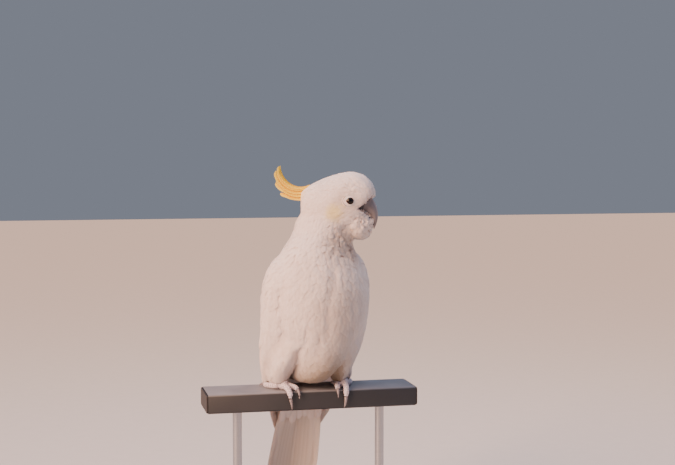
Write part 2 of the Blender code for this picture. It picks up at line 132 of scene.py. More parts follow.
def lattice(p, size, seed):
    # Smooth noise from -1 to 1: random values on a lattice of the given size, blended with an eased weight
    grid = np.random.default_rng(seed).uniform(-1, 1, (32, 32, 32))
    q = p / size
    low = np.floor(q).astype(int)
    t = q - low
    t = t * t * (3 - 2 * t)
    total = 0
    for corner in range(8):
        bit = np.array([corner & 1, corner >> 1 & 1, corner >> 2])
        i = (low + bit) % 32
        total = total + grid[i[..., 0], i[..., 1], i[..., 2]] * np.prod(np.where(bit, t, 1 - t), axis=-1)
    return total


def cells(p, size, seed):
    # Cell noise: distances to the nearest and the second nearest of one random point in each lattice cell
    shift = np.random.default_rng(seed).uniform(0.15, 0.85, (16, 16, 16, 3))
    q = p / size
    low = np.floor(q).astype(int)
    best = np.full((2, len(p)), 9.0)
    for step in np.ndindex(3, 3, 3):
        i = low + np.array(step) - 1
        k = i % 16
        far = np.linalg.norm(i + shift[k[:, 0], k[:, 1], k[:, 2]] - q, axis=1)
        best[1] = np.minimum(best[1], np.maximum(best[0], far))
        best[0] = np.minimum(best[0], far)
    return best * size


# Camera: at the height of the bird, a little to its right of straight ahead. Its axis passes this far to the
# right of and above the middle of the rail's upper front edge.

view = {"turn": -12.5, "tilt": 3.8, "lens": 70, "sensor": 36,
        "edge": (0, -20, 222), "right": 30.55, "up": 206.05, "away": 1706.25}


def makeCamera():
    turn, tilt = math.radians(view["turn"]), math.radians(view["tilt"])
    right = Vector((math.cos(turn), math.sin(turn), 0))
    ahead = Vector((-math.sin(turn) * math.cos(tilt), math.cos(turn) * math.cos(tilt), -math.sin(tilt)))
    up = right.cross(ahead)
    made = bpy.data.cameras.new("camera")
    made.lens = view["lens"]
    made.sensor_width = view["sensor"]
    made.clip_start = 0.05
    camera = bpy.data.objects.new("camera", made)
    bpy.context.scene.collection.objects.link(camera)
    place = Vector(view["edge"]) + right * view["right"] + up * view["up"] - ahead * view["away"]
    camera.matrix_world = Matrix.Translation(place * mm) @ Matrix((right, up, -ahead)).transposed().to_4x4()
    bpy.context.scene.camera = camera


makeCamera()
print("camera set")


# Materials

def linear(code, alpha=1.0):     # an sRGB hex colour as linear light
    parts = [int(code[i:i + 2], 16) / 255 for i in (1, 3, 5)]
    return (*[c / 12.92 if c <= 0.04045 else ((c + 0.055) / 1.055) ** 2.4 for c in parts], alpha)


mixColours = {"data_type": "RGBA", "blend_type": "MIX", "clamp_factor": True}


def addNode(tree, kind, settings=None, **links):
    # One node with its settings. A link is socket=value or socket=(node, output). A socket's name has _ for
    # its spaces, and i with a number is the socket at that place in the list.
    node = tree.nodes.new("ShaderNode" + kind)
    for key, value in (settings or {}).items():
        setattr(node, key, value)
    for key, value in links.items():
        byPlace = key[0] == "i" and key[1:].isdigit()
        socket = node.inputs[int(key[1:]) if byPlace else key.replace("_", " ")]
        if isinstance(value, tuple) and isinstance(value[0], bpy.types.Node):
            tree.links.new(value[0].outputs[value[1]], socket)
        else:
            socket.default_value = value
    return node


def newMaterial(name):
    made = bpy.data.materials.new(name)
    made.use_nodes = True
    tree = made.node_tree
    tree.nodes.clear()
    return made, tree


def shaded(tree, **sockets):     # ends a material: its surface, joined to the output
    surface = addNode(tree, "BsdfPrincipled", **sockets)
    addNode(tree, "OutputMaterial", Surface=(surface, "BSDF"))


plumage = {
    # the soil colour paints real soil and also painted shade: under the beard, round the eyes and under the
    # belly
    "white": "#f7e9e4", "shade": "#eedcd5", "yellow": "#ecd83c", "soilAndShade": "#917d68", "bare": "#3d3a3c",
    "barbMm": 0.9,     # real barbs are 0.3 mm apart, too fine to show, so these are three times as coarse
}


def makePlumage():
    # Contour feather, keratin barbs hooked into a vane: matt, soft-edged, a little light passes through it
    made, tree = newMaterial("keratinContourFeather")
    coat = addNode(tree, "Attribute", {"attribute_name": "coat"})
    split = addNode(tree, "SeparateColor", Color=(coat, "Color"))
    tone = addNode(tree, "Mix", mixColours, i0=(split, "Blue"),
                   i6=linear(plumage["shade"]), i7=linear(plumage["white"]))
    # soil and painted shade, in the shares that the markings give
    soiledShaded = addNode(tree, "Mix", mixColours, i0=(split, "Green"), i6=(tone, 2), i7=linear(plumage["soilAndShade"]))
    tinted = addNode(tree, "Mix", mixColours, i0=(split, "Red"), i6=(soiledShaded, 2), i7=linear(plumage["yellow"]))
    tinted = addNode(tree, "Mix", mixColours, i0=(coat, "Alpha"), i6=linear(plumage["bare"]), i7=(tinted, 2))
    vane = addNode(tree, "UVMap", {"uv_map": "vane"})
    axis = addNode(tree, "SeparateXYZ", Vector=(vane, "UV"))
    fromShaft = addNode(tree, "Math", {"operation": "ABSOLUTE"}, i0=(axis, "X"))
    # barbs leave the shaft at about 40 degrees, so their phase is the length less 1.2 times the way aside
    slant = addNode(tree, "Math", {"operation": "MULTIPLY_ADD"}, i0=(fromShaft, 0), i1=-1.2, i2=(axis, "Y"))
    clump = addNode(tree, "TexNoise", Vector=(vane, "UV"), Scale=0.35, Detail=2.0)
    wander = addNode(tree, "Math", {"operation": "MULTIPLY_ADD"}, i0=(clump, 0), i1=2.5, i2=(slant, 0))
    phase = addNode(tree, "Math", {"operation": "MULTIPLY"}, i0=(wander, 0), i1=math.tau / plumage["barbMm"])
    barbs = addNode(tree, "Math", {"operation": "SINE"}, i0=(phase, 0))
    bump = addNode(tree, "Bump", Height=(barbs, 0), Strength=0.25, Distance=0.15 * mm)
    shaded(tree, Base_Color=(tinted, 2), Roughness=0.72, IOR=1.54, Normal=(bump, "Normal"),
           Subsurface_Weight=0.25, Subsurface_Radius=(1.0, 0.62, 0.5), Subsurface_Scale=2.5 * mm,
           Sheen_Weight=0.25, Sheen_Roughness=0.45, Specular_IOR_Level=0.25)
    return made


coatMaterial = makePlumage()
print("plumage material made")


# Meshes

def newMesh(name, points, faces, material):
    # points (n, 3); faces, a list of whole arrays of triangles or quads
    mesh = bpy.data.meshes.new(name)
    corners = np.concatenate([f.ravel() for f in faces]).astype(np.int32)
    sizes = np.concatenate([np.full(len(f), f.shape[1]) for f in faces])
    mesh.vertices.add(len(points))
    mesh.vertices.foreach_set("co", np.asarray(points, np.float32).ravel())
    mesh.loops.add(len(corners))
    mesh.loops.foreach_set("vertex_index", corners)
    mesh.polygons.add(len(sizes))
    mesh.polygons.foreach_set("loop_start", (np.cumsum(sizes) - sizes).astype(np.int32))
    mesh.update(calc_edges=True)
    mesh.polygons.foreach_set("use_smooth", np.ones(len(sizes), bool))
    mesh.materials.append(material)
    return mesh, corners


def addUv(mesh, name, perPoint, corners):
    layer = mesh.uv_layers.new(name=name)
    layer.uv.foreach_set("vector", np.asarray(perPoint, np.float32)[corners].ravel())


def paint(mesh, name, colours):     # a colour for each point, as an attribute that the material reads
    layer = mesh.attributes.new(name, "FLOAT_COLOR", "POINT")
    layer.data.foreach_set("color", np.asarray(colours, np.float32).ravel())


def markSharp(mesh, what, domain, which):
    mesh.attributes.new(what, "BOOLEAN", domain).data.foreach_set("value", which)


def addPiece(name, mesh, replaced=()):
    piece = bpy.data.objects.new(name, mesh)
    bpy.context.scene.collection.objects.link(piece)
    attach(piece, "root")
    if replaced:
        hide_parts(*replaced)
    return piece


# Fields: the signed distance to a group of solids on a grid, negative inside

def trianglesOf(names):
    points, faces, count = [], [], 0
    for name in names:
        mesh = nodes[name].data
        mesh.calc_loop_triangles()
        p = np.empty(len(mesh.vertices) * 3, np.float32)
        f = np.empty(len(mesh.loop_triangles) * 3, np.int32)
        mesh.vertices.foreach_get("co", p)
        mesh.loop_triangles.foreach_get("vertices", f)
        points.append(p.reshape(-1, 3))
        faces.append(f.reshape(-1, 3) + count)
        count += len(points[-1])
    return np.vstack(points), np.vstack(faces).astype(np.uint32)


def lobeTriangles(middle, radii):
    # An ellipsoid in the bird's axes: its middle, plus each radius times the cosines and sines of latitude
    # and longitude. Quads between the rows are cut in two, and a fan closes each end.
    rows, sides = 15, 24
    lat, lon = np.meshgrid(np.linspace(-1.55, 1.55, rows), np.arange(sides) * math.tau / sides, indexing="ij")
    p = np.stack([np.cos(lat) * np.cos(lon), np.cos(lat) * np.sin(lon), np.sin(lat)], -1) * radii + middle
    i, j = [a.ravel() for a in np.meshgrid(np.arange(rows - 1), np.arange(sides), indexing="ij")]
    n = (j + 1) % sides
    a, b, c, d = i * sides + j, i * sides + n, (i + 1) * sides + n, (i + 1) * sides + j
    fan = np.stack([np.zeros(sides - 2, int), np.arange(1, sides - 1), np.arange(2, sides)], 1)
    walls = [np.stack([a, b, c], 1), np.stack([a, c, d], 1)]
    return fromBird(p.reshape(-1, 3)), np.concatenate([*walls, fan[:, ::-1], fan + (rows - 1) * sides])


def makeField(names, step, reach, passes, close=0.0, lobes=()):
    # Made twice, so that the thin cuts between solids close, then blurred by a 1-2-1 kernel. With a closing
    # radius the second is made from the surface that far outside, which fills the narrower hollows.
    place = openvdb.createLinearTransform(voxelSize=step)
    p, f = trianglesOf(names)
    for middle, radii in lobes:
        q, g = lobeTriangles(middle, radii)
        p, f = np.concatenate([p, q]).astype(p.dtype), np.concatenate([f, g + len(p)]).astype(f.dtype)
    levelSet = openvdb.FloatGrid.createLevelSetFromPolygons
    first = levelSet(p, triangles=f, transform=place, halfWidth=3 + close / step)
    p, q = first.convertToQuads(isovalue=close)
    grid = levelSet(p, quads=q, transform=place, halfWidth=reach + close / step)
    low, high = [np.array(c) for c in grid.evalActiveVoxelBoundingBox()]
    values = np.empty(high - low + 1, np.float32)
    grid.copyToArray(values, ijk=low.tolist())
    values += close
    for axis in (0, 1, 2):
        for _ in range(passes):
            values = (np.roll(values, 1, axis) + np.roll(values, -1, axis) + 2 * values) / 4
    return {"step": step, "cell": low, "low": low * step, "values": values}


def nearPoints(field, within):     # the grid's points near the surface, and which they are
    near = np.argwhere(np.abs(field["values"]) < within)
    return near * field["step"] + field["low"], tuple(near.T)


def slopeField(field):
    field["slope"] = np.stack(np.gradient(field["values"], field["step"]), axis=-1).astype(np.float32)


def sample(field, p, what="values"):
    # Trilinear reading of the field at points
    values = field[what]
    q = np.clip((p - field["low"]) / field["step"], 0, np.array(values.shape[:3]) - 1.001)
    low = q.astype(int)
    t = (q - low).astype(np.float32)
    total = 0
    for corner in range(8):
        bit = np.array([corner & 1, corner >> 1 & 1, corner >> 2])
        i = low + bit
        weight = np.prod(np.where(bit, t, 1 - t), axis=-1)
        found = values[i[..., 0], i[..., 1], i[..., 2]]
        total = total + (found * weight[..., None] if what == "slope" else found * weight)
    return total


def normalAt(field, p):
    return unit(sample(field, p, "slope"))


def settle(field, p, level, times=2):     # moves points along the slope to a level of the field
    for _ in range(times):
        away = sample(field, p) - level
        p = p - normalAt(field, p) * away[..., None]
    return p


def surfaceOf(field):     # the quads of the field's surface, facing outwards
    values = np.ascontiguousarray(field["values"], dtype=np.float32)
    grid = openvdb.FloatGrid(float(values.max()))
    grid.copyFromArray(values, ijk=field["cell"].tolist())
    grid.transform = openvdb.createLinearTransform(voxelSize=field["step"])
    points, quads = grid.convertToQuads(isovalue=0.0)
    a, b, c = [points[quads[:, k]].astype(float) for k in (0, 1, 2)]
    if np.einsum("ij,ij->", a, np.cross(b, c)) < 0:
        quads = quads[:, ::-1]
    return points.astype(float), quads.astype(np.int32)


# The bird's flesh: one field of head, neck, trunk, thighs and wings, with the folds of its plumage

body = {
    "nodes": ("head", "neck", "trunk", "thigh_left", "thigh_right", "wing_left", "wing_right", "eye_left",
              "eye_right", "bill_upper", "bill_lower"),
    "step": 1.5, "reach": 9, "fill": 9,
    # folds of the front: width, depth, and points (x, z) in the bird's axes
    "folds": [
        (6.0, 1.6, [(3, 158), (2, 144), (-4, 128), (-7, 108), (-7, 74)]),
        (2.0, 1.0, [(-24, 136), (-38, 118)]),
        (2.6, 1.9, [(-60, 134), (-59, 106), (-54, 72), (-53, 56), (-55, 40), (-58, 24), (-59, 10)]),
        (2.6, 1.9, [(-32, 84), (-31, 66), (-37, 48), (-35, 30)]),
        (5.0, 1.2, [(28, 82), (42, 44)]),
        (4.0, 0.9, [(-17, 78), (-17, 52)]),
        (6.0, 0.7, [(26, 146), (30, 110)]),
        (4.0, 0.6, [(-40, 150), (-44, 122), (-40, 96)]),
    ],
    "streak": 0.06, "ripple": 0.25,
    "lumps": {"size": 7.0, "high": 1.5}, "curls": {"size": 3.4, "high": 1.0},
    # lobes of down between thigh and wing: middle and radii in the bird's axes
    "flanks": [((-50, 32, 18), (10.5, 28, 17)), ((45, 32, 18), (10.5, 28, 17))],
    # the open corner of the bill, seen from the side: its apex ahead and up, and the slopes of its two edges
    "gape": {"apex": (19.0, -10), "top": 0.88, "low": -0.42, "inside": 7, "lip": (14, 13.6)},
    # the beard's top, which wraps the lower half of the bill, in the head's axes
    "beard": {"middle": (0, -23.5, -27.5), "radii": (15.5, 14.2, 12.5), "crease": 6},
}


def alongFold(x, z, route):     # distance from a route in the plane, and how far past its ends a point is
    best = np.full(len(x), 99.0)
    for (ax, az), (bx, bz) in zip(route[:-1], route[1:]):
        t = np.clip(((x - ax) * (bx - ax) + (z - az) * (bz - az)) / ((bx - ax) ** 2 + (bz - az) ** 2), 0, 1)
        best = np.minimum(best, np.hypot(x - ax - t * (bx - ax), z - az - t * (bz - az)))
    return best


ruffles = {
    # axes, middle and radii, the shares of them between which it fades, and its strength
    "beard": ("head", (0, -23, -24), (26, 20, 19), 0.7, 1.1, 1.0),
    "throat": ("bird", (23, -40, 193), (34, 28, 29), 0.55, 1.15, 0.8),
    "brow": ("eitherSide", (23, 14, 17), (14, 12, 12), 0.3, 1.1, 0.6),
    "shoulder": ("bird", (-58, -22, 116), (9, 14, 22), 0.4, 1.1, 0.25),
    "hem": {"middle": -4, "up": (10, 26), "aside": (24, 34), "strength": 0.22},
}


def ruffled(b, h):
    # Share of ruffle: the beard under the bill, the throat below it, a small patch above each eye, a patch of
    # one shoulder, and the belly's lower edge
    axes = {"head": h, "bird": b, "eitherSide": h * (0, -1, 1) + np.abs(h) * (1, 0, 0)}
    hem = ruffles["hem"]
    low = hem["strength"] * (1 - ease(b[..., 2], *hem["up"]))
    shares = [low * (1 - ease(np.abs(b[..., 0] - hem["middle"]), *hem["aside"]))]
    for patch in ("beard", "throat", "brow", "shoulder"):
        which, *place, strength = ruffles[patch]
        shares.append(closeTo(axes[which], *place) * strength)
    return np.max(shares, axis=0)


def inGape(h):     # how far inside the bill's open corner, or under the forehead's lip, a point is, in mm
    gape = body["gape"]
    ahead, up = -h[:, 1] - gape["apex"][0], h[:, 2] - gape["apex"][1]
    between = np.minimum(gape["top"] * ahead - up, up - gape["low"] * ahead) * 0.85
    lip = np.minimum(np.minimum(ahead - gape["lip"][0], gape["lip"][1] - up), up - 2)
    return np.maximum(np.minimum(between, np.abs(h[:, 0]) - gape["inside"]), lip)


def makeBody():
    field = makeField(body["nodes"], body["step"] * mm, body["reach"], 1, lobes=body["flanks"])
    p, at = nearPoints(field, 8 * mm)
    b, h = toBird(p), toHead(p)
    # down fills the hollows between wing, flank and thigh
    full = sample(makeField(body["nodes"], body["step"] * mm, 3, 1, body["fill"] * mm, body["flanks"]), p)
    aside = ease(np.abs(b[:, 0]), 32, 42) * (1 - ease(b[:, 2], 98, 116)) * ease(b[:, 2], -16, -2)
    field["values"][at] = mix(field["values"][at], np.minimum(field["values"][at], full), aside)
    radii = np.array(body["beard"]["radii"])
    lobe = (np.linalg.norm((h - body["beard"]["middle"]) / radii, axis=1) - 1) * radii.min() * mm
    # joined with a soft crease
    near = np.clip((lobe - field["values"][at]) / (body["beard"]["crease"] * mm), -1, 1)
    field["values"][at] = np.where(near > 0, field["values"][at], lobe) - (1 - np.abs(near)) ** 2 * 1.5 * mm
    sink = np.zeros(len(p))
    front = 1 - ease(b[:, 1], -22, -6)
    for wide, deep, route in body["folds"]:
        sink += deep * hump(alongFold(b[:, 0], b[:, 2], route), 0, wide) * front
    trunk = 1 - ease(b[:, 2], 170, 200)
    sink += body["streak"] * lattice(b * (1 / 7, 1 / 7, 1 / 38), 1.0, 3) * trunk
    sink += body["ripple"] * lattice(b, 9.0, 4)
    ruffle = ruffled(b, h)
    some = ruffle > 0.02
    for lump, seed in (("lumps", 5), ("curls", 6)):       # round domes with creases between them
        near, _ = cells(b[some], body[lump]["size"], seed)
        sink[some] += body[lump]["high"] * ruffle[some] * ((near / body[lump]["size"] * 1.8) ** 2 - 0.42)
    field["values"][at] += (sink * mm).astype(np.float32)
    field["values"][at] = np.maximum(field["values"][at], (inGape(h) * mm).astype(np.float32))
    slopeField(field)
    return field


flesh = makeBody()
print("body field", flesh["values"].shape)


def coatDepth(p):     # how deep the skin lies under the coat's outline, in mm: least on the face
    b, h = toBird(p), toHead(p)
    face = closeTo(h, (0, -30, -4), 1, 22, 44)
    return mix(mix(1.5, 1.3, ease(b[..., 2], 205, 235)), 1.0, face)


marks = {
    # patches: middle and radii, and the shares of them between which they fade
    "nape": ((0, 50, 12), (14, 12, 12), 0.3, 1.1), "throat": ((24, -40, 196), (36, 32, 28), 0.4, 1.2),
    "socket": (eye["place"], (30, 17, 14), 0.6, 1.3),
    "yellow": {"cheek": 0.5, "nape": 0.45},
    # shares of the soil colour: most of them are painted shade, as marked at each below; patchy is random
    # soil
    "soilAndShade": {"breast": 0.42, "hem": 0.28, "low": 0.08, "throat": 0.46, "patchy": 0.10, "socket": 0.24},
}


def markings(p, tone):
    # Yellow of the ear coverts and crest root, soil and painted shade on the belly, throat and round the
    # eyes, a darker middle of the breast, a tone for each feather, and how far the place is feathered at all
    b, h = toBird(p), toHead(p)
    side, x, y, z = np.abs(h[..., 0]), b[..., 0], b[..., 1], b[..., 2]
    cheek = 1 - ease(np.hypot((h[..., 1] - 6) / 15, (h[..., 2] + 13) / 13), 0.25, 1.15)
    yellow = marks["yellow"]["cheek"] * cheek * ease(side, 12, 22)
    yellow = np.maximum(yellow, marks["yellow"]["nape"] * closeTo(h, *marks["nape"]))
    darkeningShares = marks["soilAndShade"]
    # soil and painted shade on the lower front of the belly, which faces down
    soilAndShade = (1 - ease(z, 4, 78)) * ease(-y, -60, 10) * mix(0.8, 0.2, ease(np.abs(x + 4), 20, 40))
    # darker and browner down the middle of the breast
    soilAndShade = soilAndShade + darkeningShares["breast"] * hump(x, 9, 40) * (1 - ease(z, 120, 178)) * (y < 0)
    # painted shade along the belly's lowest edge
    soilAndShade = soilAndShade + darkeningShares["hem"] * (1 - ease(z, 4, 24)) * (y < 20) * (np.abs(x) < 50)
    # darker towards the bottom, and painted shade on the throat under the beard
    soilAndShade = soilAndShade + darkeningShares["low"] * (1 - ease(z, 0, 120)) + darkeningShares["throat"] * closeTo(b, *marks["throat"])
    soilAndShade = soilAndShade + darkeningShares["patchy"] * np.maximum(0, lattice(b, 22.0, 8))
    # painted shade in a ring round each eye
    soilAndShade = soilAndShade + darkeningShares["socket"] * closeTo(np.stack([side, h[..., 1], h[..., 2]], -1), *marks["socket"])
    feathered = 1 - ease(inGape(h), -0.7, 0.2)      # bare grey skin at the corner of the bill
    return np.stack([yellow, np.clip(soilAndShade, 0, 0.95), tone, feathered], axis=-1)


def makeSkin():
    p, at = nearPoints(flesh, 5 * mm)
    depth = np.zeros_like(flesh["values"])
    depth[at] = coatDepth(p) * mm
    points, quads = surfaceOf({**flesh, "values": flesh["values"] + depth})
    mesh, corners = newMesh("skin", points, [quads], coatMaterial)
    paint(mesh, "coat", markings(points, np.full(len(points), 0.3)))
    addUv(mesh, "vane", toBird(points)[:, [0, 2]], corners)
    addPiece("skin", mesh, ("head", "neck", "trunk", "thigh_left", "thigh_right"))
    return points, quads


skinPoints, skinQuads = makeSkin()
print("skin", len(skinQuads), "quads")


# Feathers

stations = np.array([0, 0.2, 0.42, 0.64, 0.83, 0.95])
acrossVane = np.array([-1, -0.5, 0, 0.5, 1, 0])       # the last is the middle of the underside


def unwrap(p):
    # The body opened along its back into a cylinder, the head into another beside it
    b, h = toBird(p), toHead(p)
    onHead = b[..., 2] > 214
    turn = np.where(onHead, np.arctan2(h[..., 0], -h[..., 1]), np.arctan2(b[..., 0], 10 - b[..., 1]))
    u = turn / math.tau + 0.5
    v = np.where(onHead, (b[..., 2] - 214) / 90, (b[..., 2] + 120) / 334)
    return np.stack([np.where(onHead, 0.72 + 0.26 * u, 0.02 + 0.66 * u), 0.02 + 0.96 * v], axis=-1)


def featherMesh(name, spine, up, half, cup, thick, coat, replaced=(), stack=stations, hug=None,
                tilt=0.0):
    # Each feather: rings of six points along its spine, five across the vane's upper face and one beneath,
    # a point at the quill and one at the tip. A ring's point is the spine, plus its share of the half width
    # across, plus a rise that falls off with the square of that share. spine, up (n, k, 3) and half (n, k)
    # are in metres. Where a feather hugs the body, a ring's points keep their spine's level over it.
    count, rings = spine.shape[:2]
    along = np.gradient(spine, axis=1)
    across = unit(np.cross(unit(along), up))
    t = acrossVane[None, None, :, None]
    rise = -cup * half[..., None] * acrossVane**2 + thick * np.array([0, 0.3, 0.5, 0.3, 0, -0.5])
    grid = spine[:, :, None] + across[:, :, None] * t * half[..., None, None]
    grid = grid + up[:, :, None] * rise[..., None]
    if hug is not None:
        level = sample(flesh, spine)[..., None] + rise + tilt * acrossVane * half[..., None]
        grid = grid - normalAt(flesh, grid) * ((sample(flesh, grid) - level) * hug[..., None])[..., None]
    quill = spine[:, 0] - unit(along[:, 0]) * half[:, :1] * 0.4
    tip = spine[:, -1] + unit(along[:, -1]) * half[:, -1:] * 0.55
    points = np.concatenate([grid.reshape(count, -1, 3), quill[:, None], tip[:, None]], axis=1)
    each = rings * 6 + 2
    k = np.arange(6)
    n = (k + 1) % 6
    j = np.arange(rings - 1)[:, None] * 6
    quads = np.stack([j + k, j + n, j + 6 + n, j + 6 + k], axis=-1).reshape(-1, 4)
    last = (rings - 1) * 6
    caps = np.vstack([np.stack([np.full(6, each - 2), n, k], axis=-1),
                      np.stack([last + k, last + n, np.full(6, each - 1)], axis=-1)])
    start = np.arange(count)[:, None, None] * each
    mesh, corners = newMesh(name, points.reshape(-1, 3),
                            [(quads + start).reshape(-1, 4), (caps + start).reshape(-1, 3)], coatMaterial)
    length = np.cumsum(np.linalg.norm(np.diff(spine, axis=1, prepend=spine[:, :1]), axis=2), axis=1)
    uv = np.zeros((count, each, 2))
    uv[:, :-2, 0] = (half[..., None] * acrossVane / mm).reshape(count, -1)
    uv[:, :-2, 1] = np.repeat(length / mm, 6, axis=1)
    uv[:, -1, 1] = length[:, -1] / mm + 1
    uv += (np.random.default_rng(len(name)).uniform(0, 900, (count, 1, 1)) // 1) * (0, 1)
    addUv(mesh, "vane", uv.reshape(-1, 2), corners)
    patch = np.zeros((count, each, 2))
    patch[:, :-2, 0] = np.tile(acrossVane * 0.5, rings)
    patch[:, :-2, 1] = np.repeat(stack - 0.5, 6)
    patch[:, -2, 1], patch[:, -1, 1] = -0.5, 0.5
    addUv(mesh, "OFBake", (unwrap(spine[:, 0])[:, None] + patch * 0.003).reshape(-1, 2), corners)
    paint(mesh, "coat", np.repeat(coat, each, axis=0) if coat.ndim == 2 else coat)
    rim = np.zeros(each, bool)
    rim[:-2] = np.abs(np.tile(acrossVane, rings)) == 1
    rim[-2:] = True
    rim = np.tile(rim, count)
    ends = np.empty(len(mesh.edges) * 2, np.int32)
    mesh.edges.foreach_get("vertices", ends)
    ends = ends.reshape(-1, 2)
    markSharp(mesh, "sharp_edge", "EDGE", rim[ends[:, 0]] & rim[ends[:, 1]])
    return addPiece(name, mesh, replaced)


def outline(s, root=0.4, shoulder=0.5):     # half width along a vane, from a narrow quill to a rounded tip
    fullness = root + (1 - root) * ease(s, 0, 0.4)
    return fullness * np.sqrt(np.maximum(1 - (np.maximum(s - shoulder, 0) / (1 - shoulder)) ** 2, 0))


def lie(p, n):
    # The way a feather lies: back from the bill over the head, down the neck, trunk and legs, and
    # a little outwards and back on the flanks, flattened into the surface
    b, h = toBird(p), toHead(p)
    onHead = ease(b[..., 2], 196, 236)
    fromBill = unit(h - (0, -36, -3))
    backOfHead = ease(h[..., 1], 4, 34)
    headWay = unit(fromBill - 1.1 * backOfHead[..., None] * (0, 0, 1)) @ headAxes.T
    flank = ease(np.abs(b[..., 0]), 18, 55)
    bodyWay = np.stack([0.10 * np.sign(b[..., 0]) * ease(np.abs(b[..., 0]), 4, 30),
                        0.18 + 0.22 * flank, np.full(flank.shape, -1.0)], -1) @ birdAxes.T
    way = mix(unit(bodyWay), headWay, onHead[..., None])
    return squareTo(way, n)


coatPlan = {
    # length of a feather in mm by place; its width and spacing are shares of that
    "breast": 15, "belly": 16, "back": 19, "neck": 11, "head": 7.5, "face": 4.6,
    "width": 0.56, "spacing": 0.27, "perPiece": 2300,
    "rootDepth": 0.9,        # share of the way down to the skin at which a feather's root lies
    "bareEye": (9.2, 7.4),   # half width and half height of the bare ring
    "overWing": (9, 28),     # degrees that the flank's feathers lap over the wing's front edge, low and high
}


def layVanes(name, roots, size, width, seed, ruffle=None, cup=0.05, thick=0.12, tipOut=0.0):
    # Feathers laid over the body: each starts at the skin and is carried along the surface, rising to the
    # coat's outline at its tip; a ruffled one lifts, curls back in and lies any way
    random = np.random.default_rng(seed)
    count = len(roots)
    ruffle = np.zeros(count) if ruffle is None else ruffle
    sunk = coatDepth(roots) * mm * coatPlan["rootDepth"]
    p = settle(flesh, roots, -sunk)
    n = normalAt(flesh, p)
    way = swing(lie(p, n), n, (random.normal(0, 1, count) * (0.10 + 0.6 * ruffle))[:, None])
    bend = random.normal(0, 1, count) * (0.12 + 0.7 * ruffle)
    high = random.uniform(-0.08, 0.06, count) * mm + ruffle * random.uniform(0, 0.4, count) * mm
    spine, up = [], []
    previous = 0.0
    for s in stations:
        step = (s - previous) * size * mm
        previous = s
        if s:
            way = swing(way, n, (bend * step / (size * mm))[:, None])
            p = p + way * step[:, None]
            curl = mix(1 - (1 - s) ** 1.6, np.sin(np.pi * min(1.0, s * 0.86)), ruffle * 0.8)
            p = settle(flesh, p, -sunk + (sunk + high) * curl + tipOut * mm * s**3, 1)
            n = normalAt(flesh, p)
            way = squareTo(way, n)
        spine.append(p)
        up.append(n)
    spine, up = np.stack(spine, 1), np.stack(up, 1)
    along = unit(np.gradient(spine, axis=1))
    roll = random.normal(0, 1, count) * (0.015 + 0.16 * ruffle)
    up = swing(squareTo(up, along), along, roll[:, None, None])
    half = width[:, None] / 2 * mm * outline(stations)[None]
    coat = markings(roots, random.uniform(0.35, 1, count))
    hug = np.repeat(0.9 * (1 - ruffle)[:, None], len(stations), axis=1)
    return featherMesh(name, spine, up, half, cup, thick * mm, coat, hug=hug)


def featherLength(p):
    b, h = toBird(p), toHead(p)
    length = mix(coatPlan["belly"], coatPlan["breast"], ease(b[:, 2], 50, 110))
    length = mix(length, coatPlan["back"], ease(b[:, 1], 5, 30))
    length = mix(length, coatPlan["neck"], ease(b[:, 2], 165, 200))
    length = mix(length, coatPlan["head"], ease(b[:, 2], 205, 232))
    return mix(length, coatPlan["face"], closeTo(h, (0, -32, -4), 1, 16, 40))


wing = {
    # height, front and back edge in degrees round the body, thickness
    "edge": [(176, 84, 100, 1.5), (166, 66, 138, 6), (148, 62, 160, 9), (118, 67, 171, 10),
             (86, 69, 176, 10), (56, 68, 177, 9.5), (28, 79, 177, 9), (8, 97, 177, 8.5),
             (-6, 107, 177, 8), (-34, 113, 177, 6.5), (-64, 126, 176, 4.5), (-94, 145, 174, 3),
             (-108, 155, 171, 1.6)],
    # height, middle, half width and half depth of the body that the wing wraps
    "section": [(176, -3, 51, 46), (156, -3, 61, 53), (132, -2, 65.5, 58), (98, 1.5, 64, 62.5),
                (94, 3, 63.5, 63), (70, 13, 63, 58), (45, 27, 62, 51), (20, 38, 60.5, 46),
                (0, 46, 57.5, 43), (-34, 58, 50, 36), (-64, 70, 42, 32), (-94, 83, 33, 29),
                (-112, 90, 25, 27)],
    "coatFrom": 104,        # above this height the small coverts are laid like the rest of the coat
}
wingEdge = np.array(curveThrough(wing["edge"], 60))[::-1]
wingSection = np.array(curveThrough(wing["section"], 60))[::-1]


def readTable(table, z, column):
    return np.interp(z, table[:, 0], table[:, column])


def wingAngle(b):     # degrees round the body from the breast, of points in the bird's axes
    middle, half, depth = [readTable(wingSection, b[..., 2], k) for k in (1, 2, 3)]
    return np.degrees(np.arctan2(np.abs(b[..., 0]) / half, (middle - b[..., 1]) / depth))


def onSkin(count, weightOf, seed):
    # Random points of the skin, as many in each quad as its area over the square of the spacing asks
    random = np.random.default_rng(seed)
    corner = skinPoints[skinQuads]
    area = np.linalg.norm(np.cross(corner[:, 2] - corner[:, 0], corner[:, 3] - corner[:, 1]), axis=1) / 2
    middle = corner.mean(1)
    weight = area / (weightOf(middle) * mm) ** 2
    total = int(weight.sum() * count)
    pick = random.choice(len(area), total, p=weight / weight.sum())
    s, t = random.random((2, total, 1))
    c = corner[pick]
    return mix(mix(c[:, 0], c[:, 1], s), mix(c[:, 3], c[:, 2], s), t)


def spaced(points, gap, seed):
    # Keeps points at least their own gap apart
    tree = KDTree(len(points))
    for i, p in enumerate(points):
        tree.insert(p, i)
    tree.balance()
    free = np.ones(len(points), bool)
    kept = []
    for i in np.random.default_rng(seed).permutation(len(points)):
        if free[i]:
            kept.append(i)
            for _, j, _ in tree.find_range(points[i], gap[i]):
                free[j] = False
    return np.array(kept)


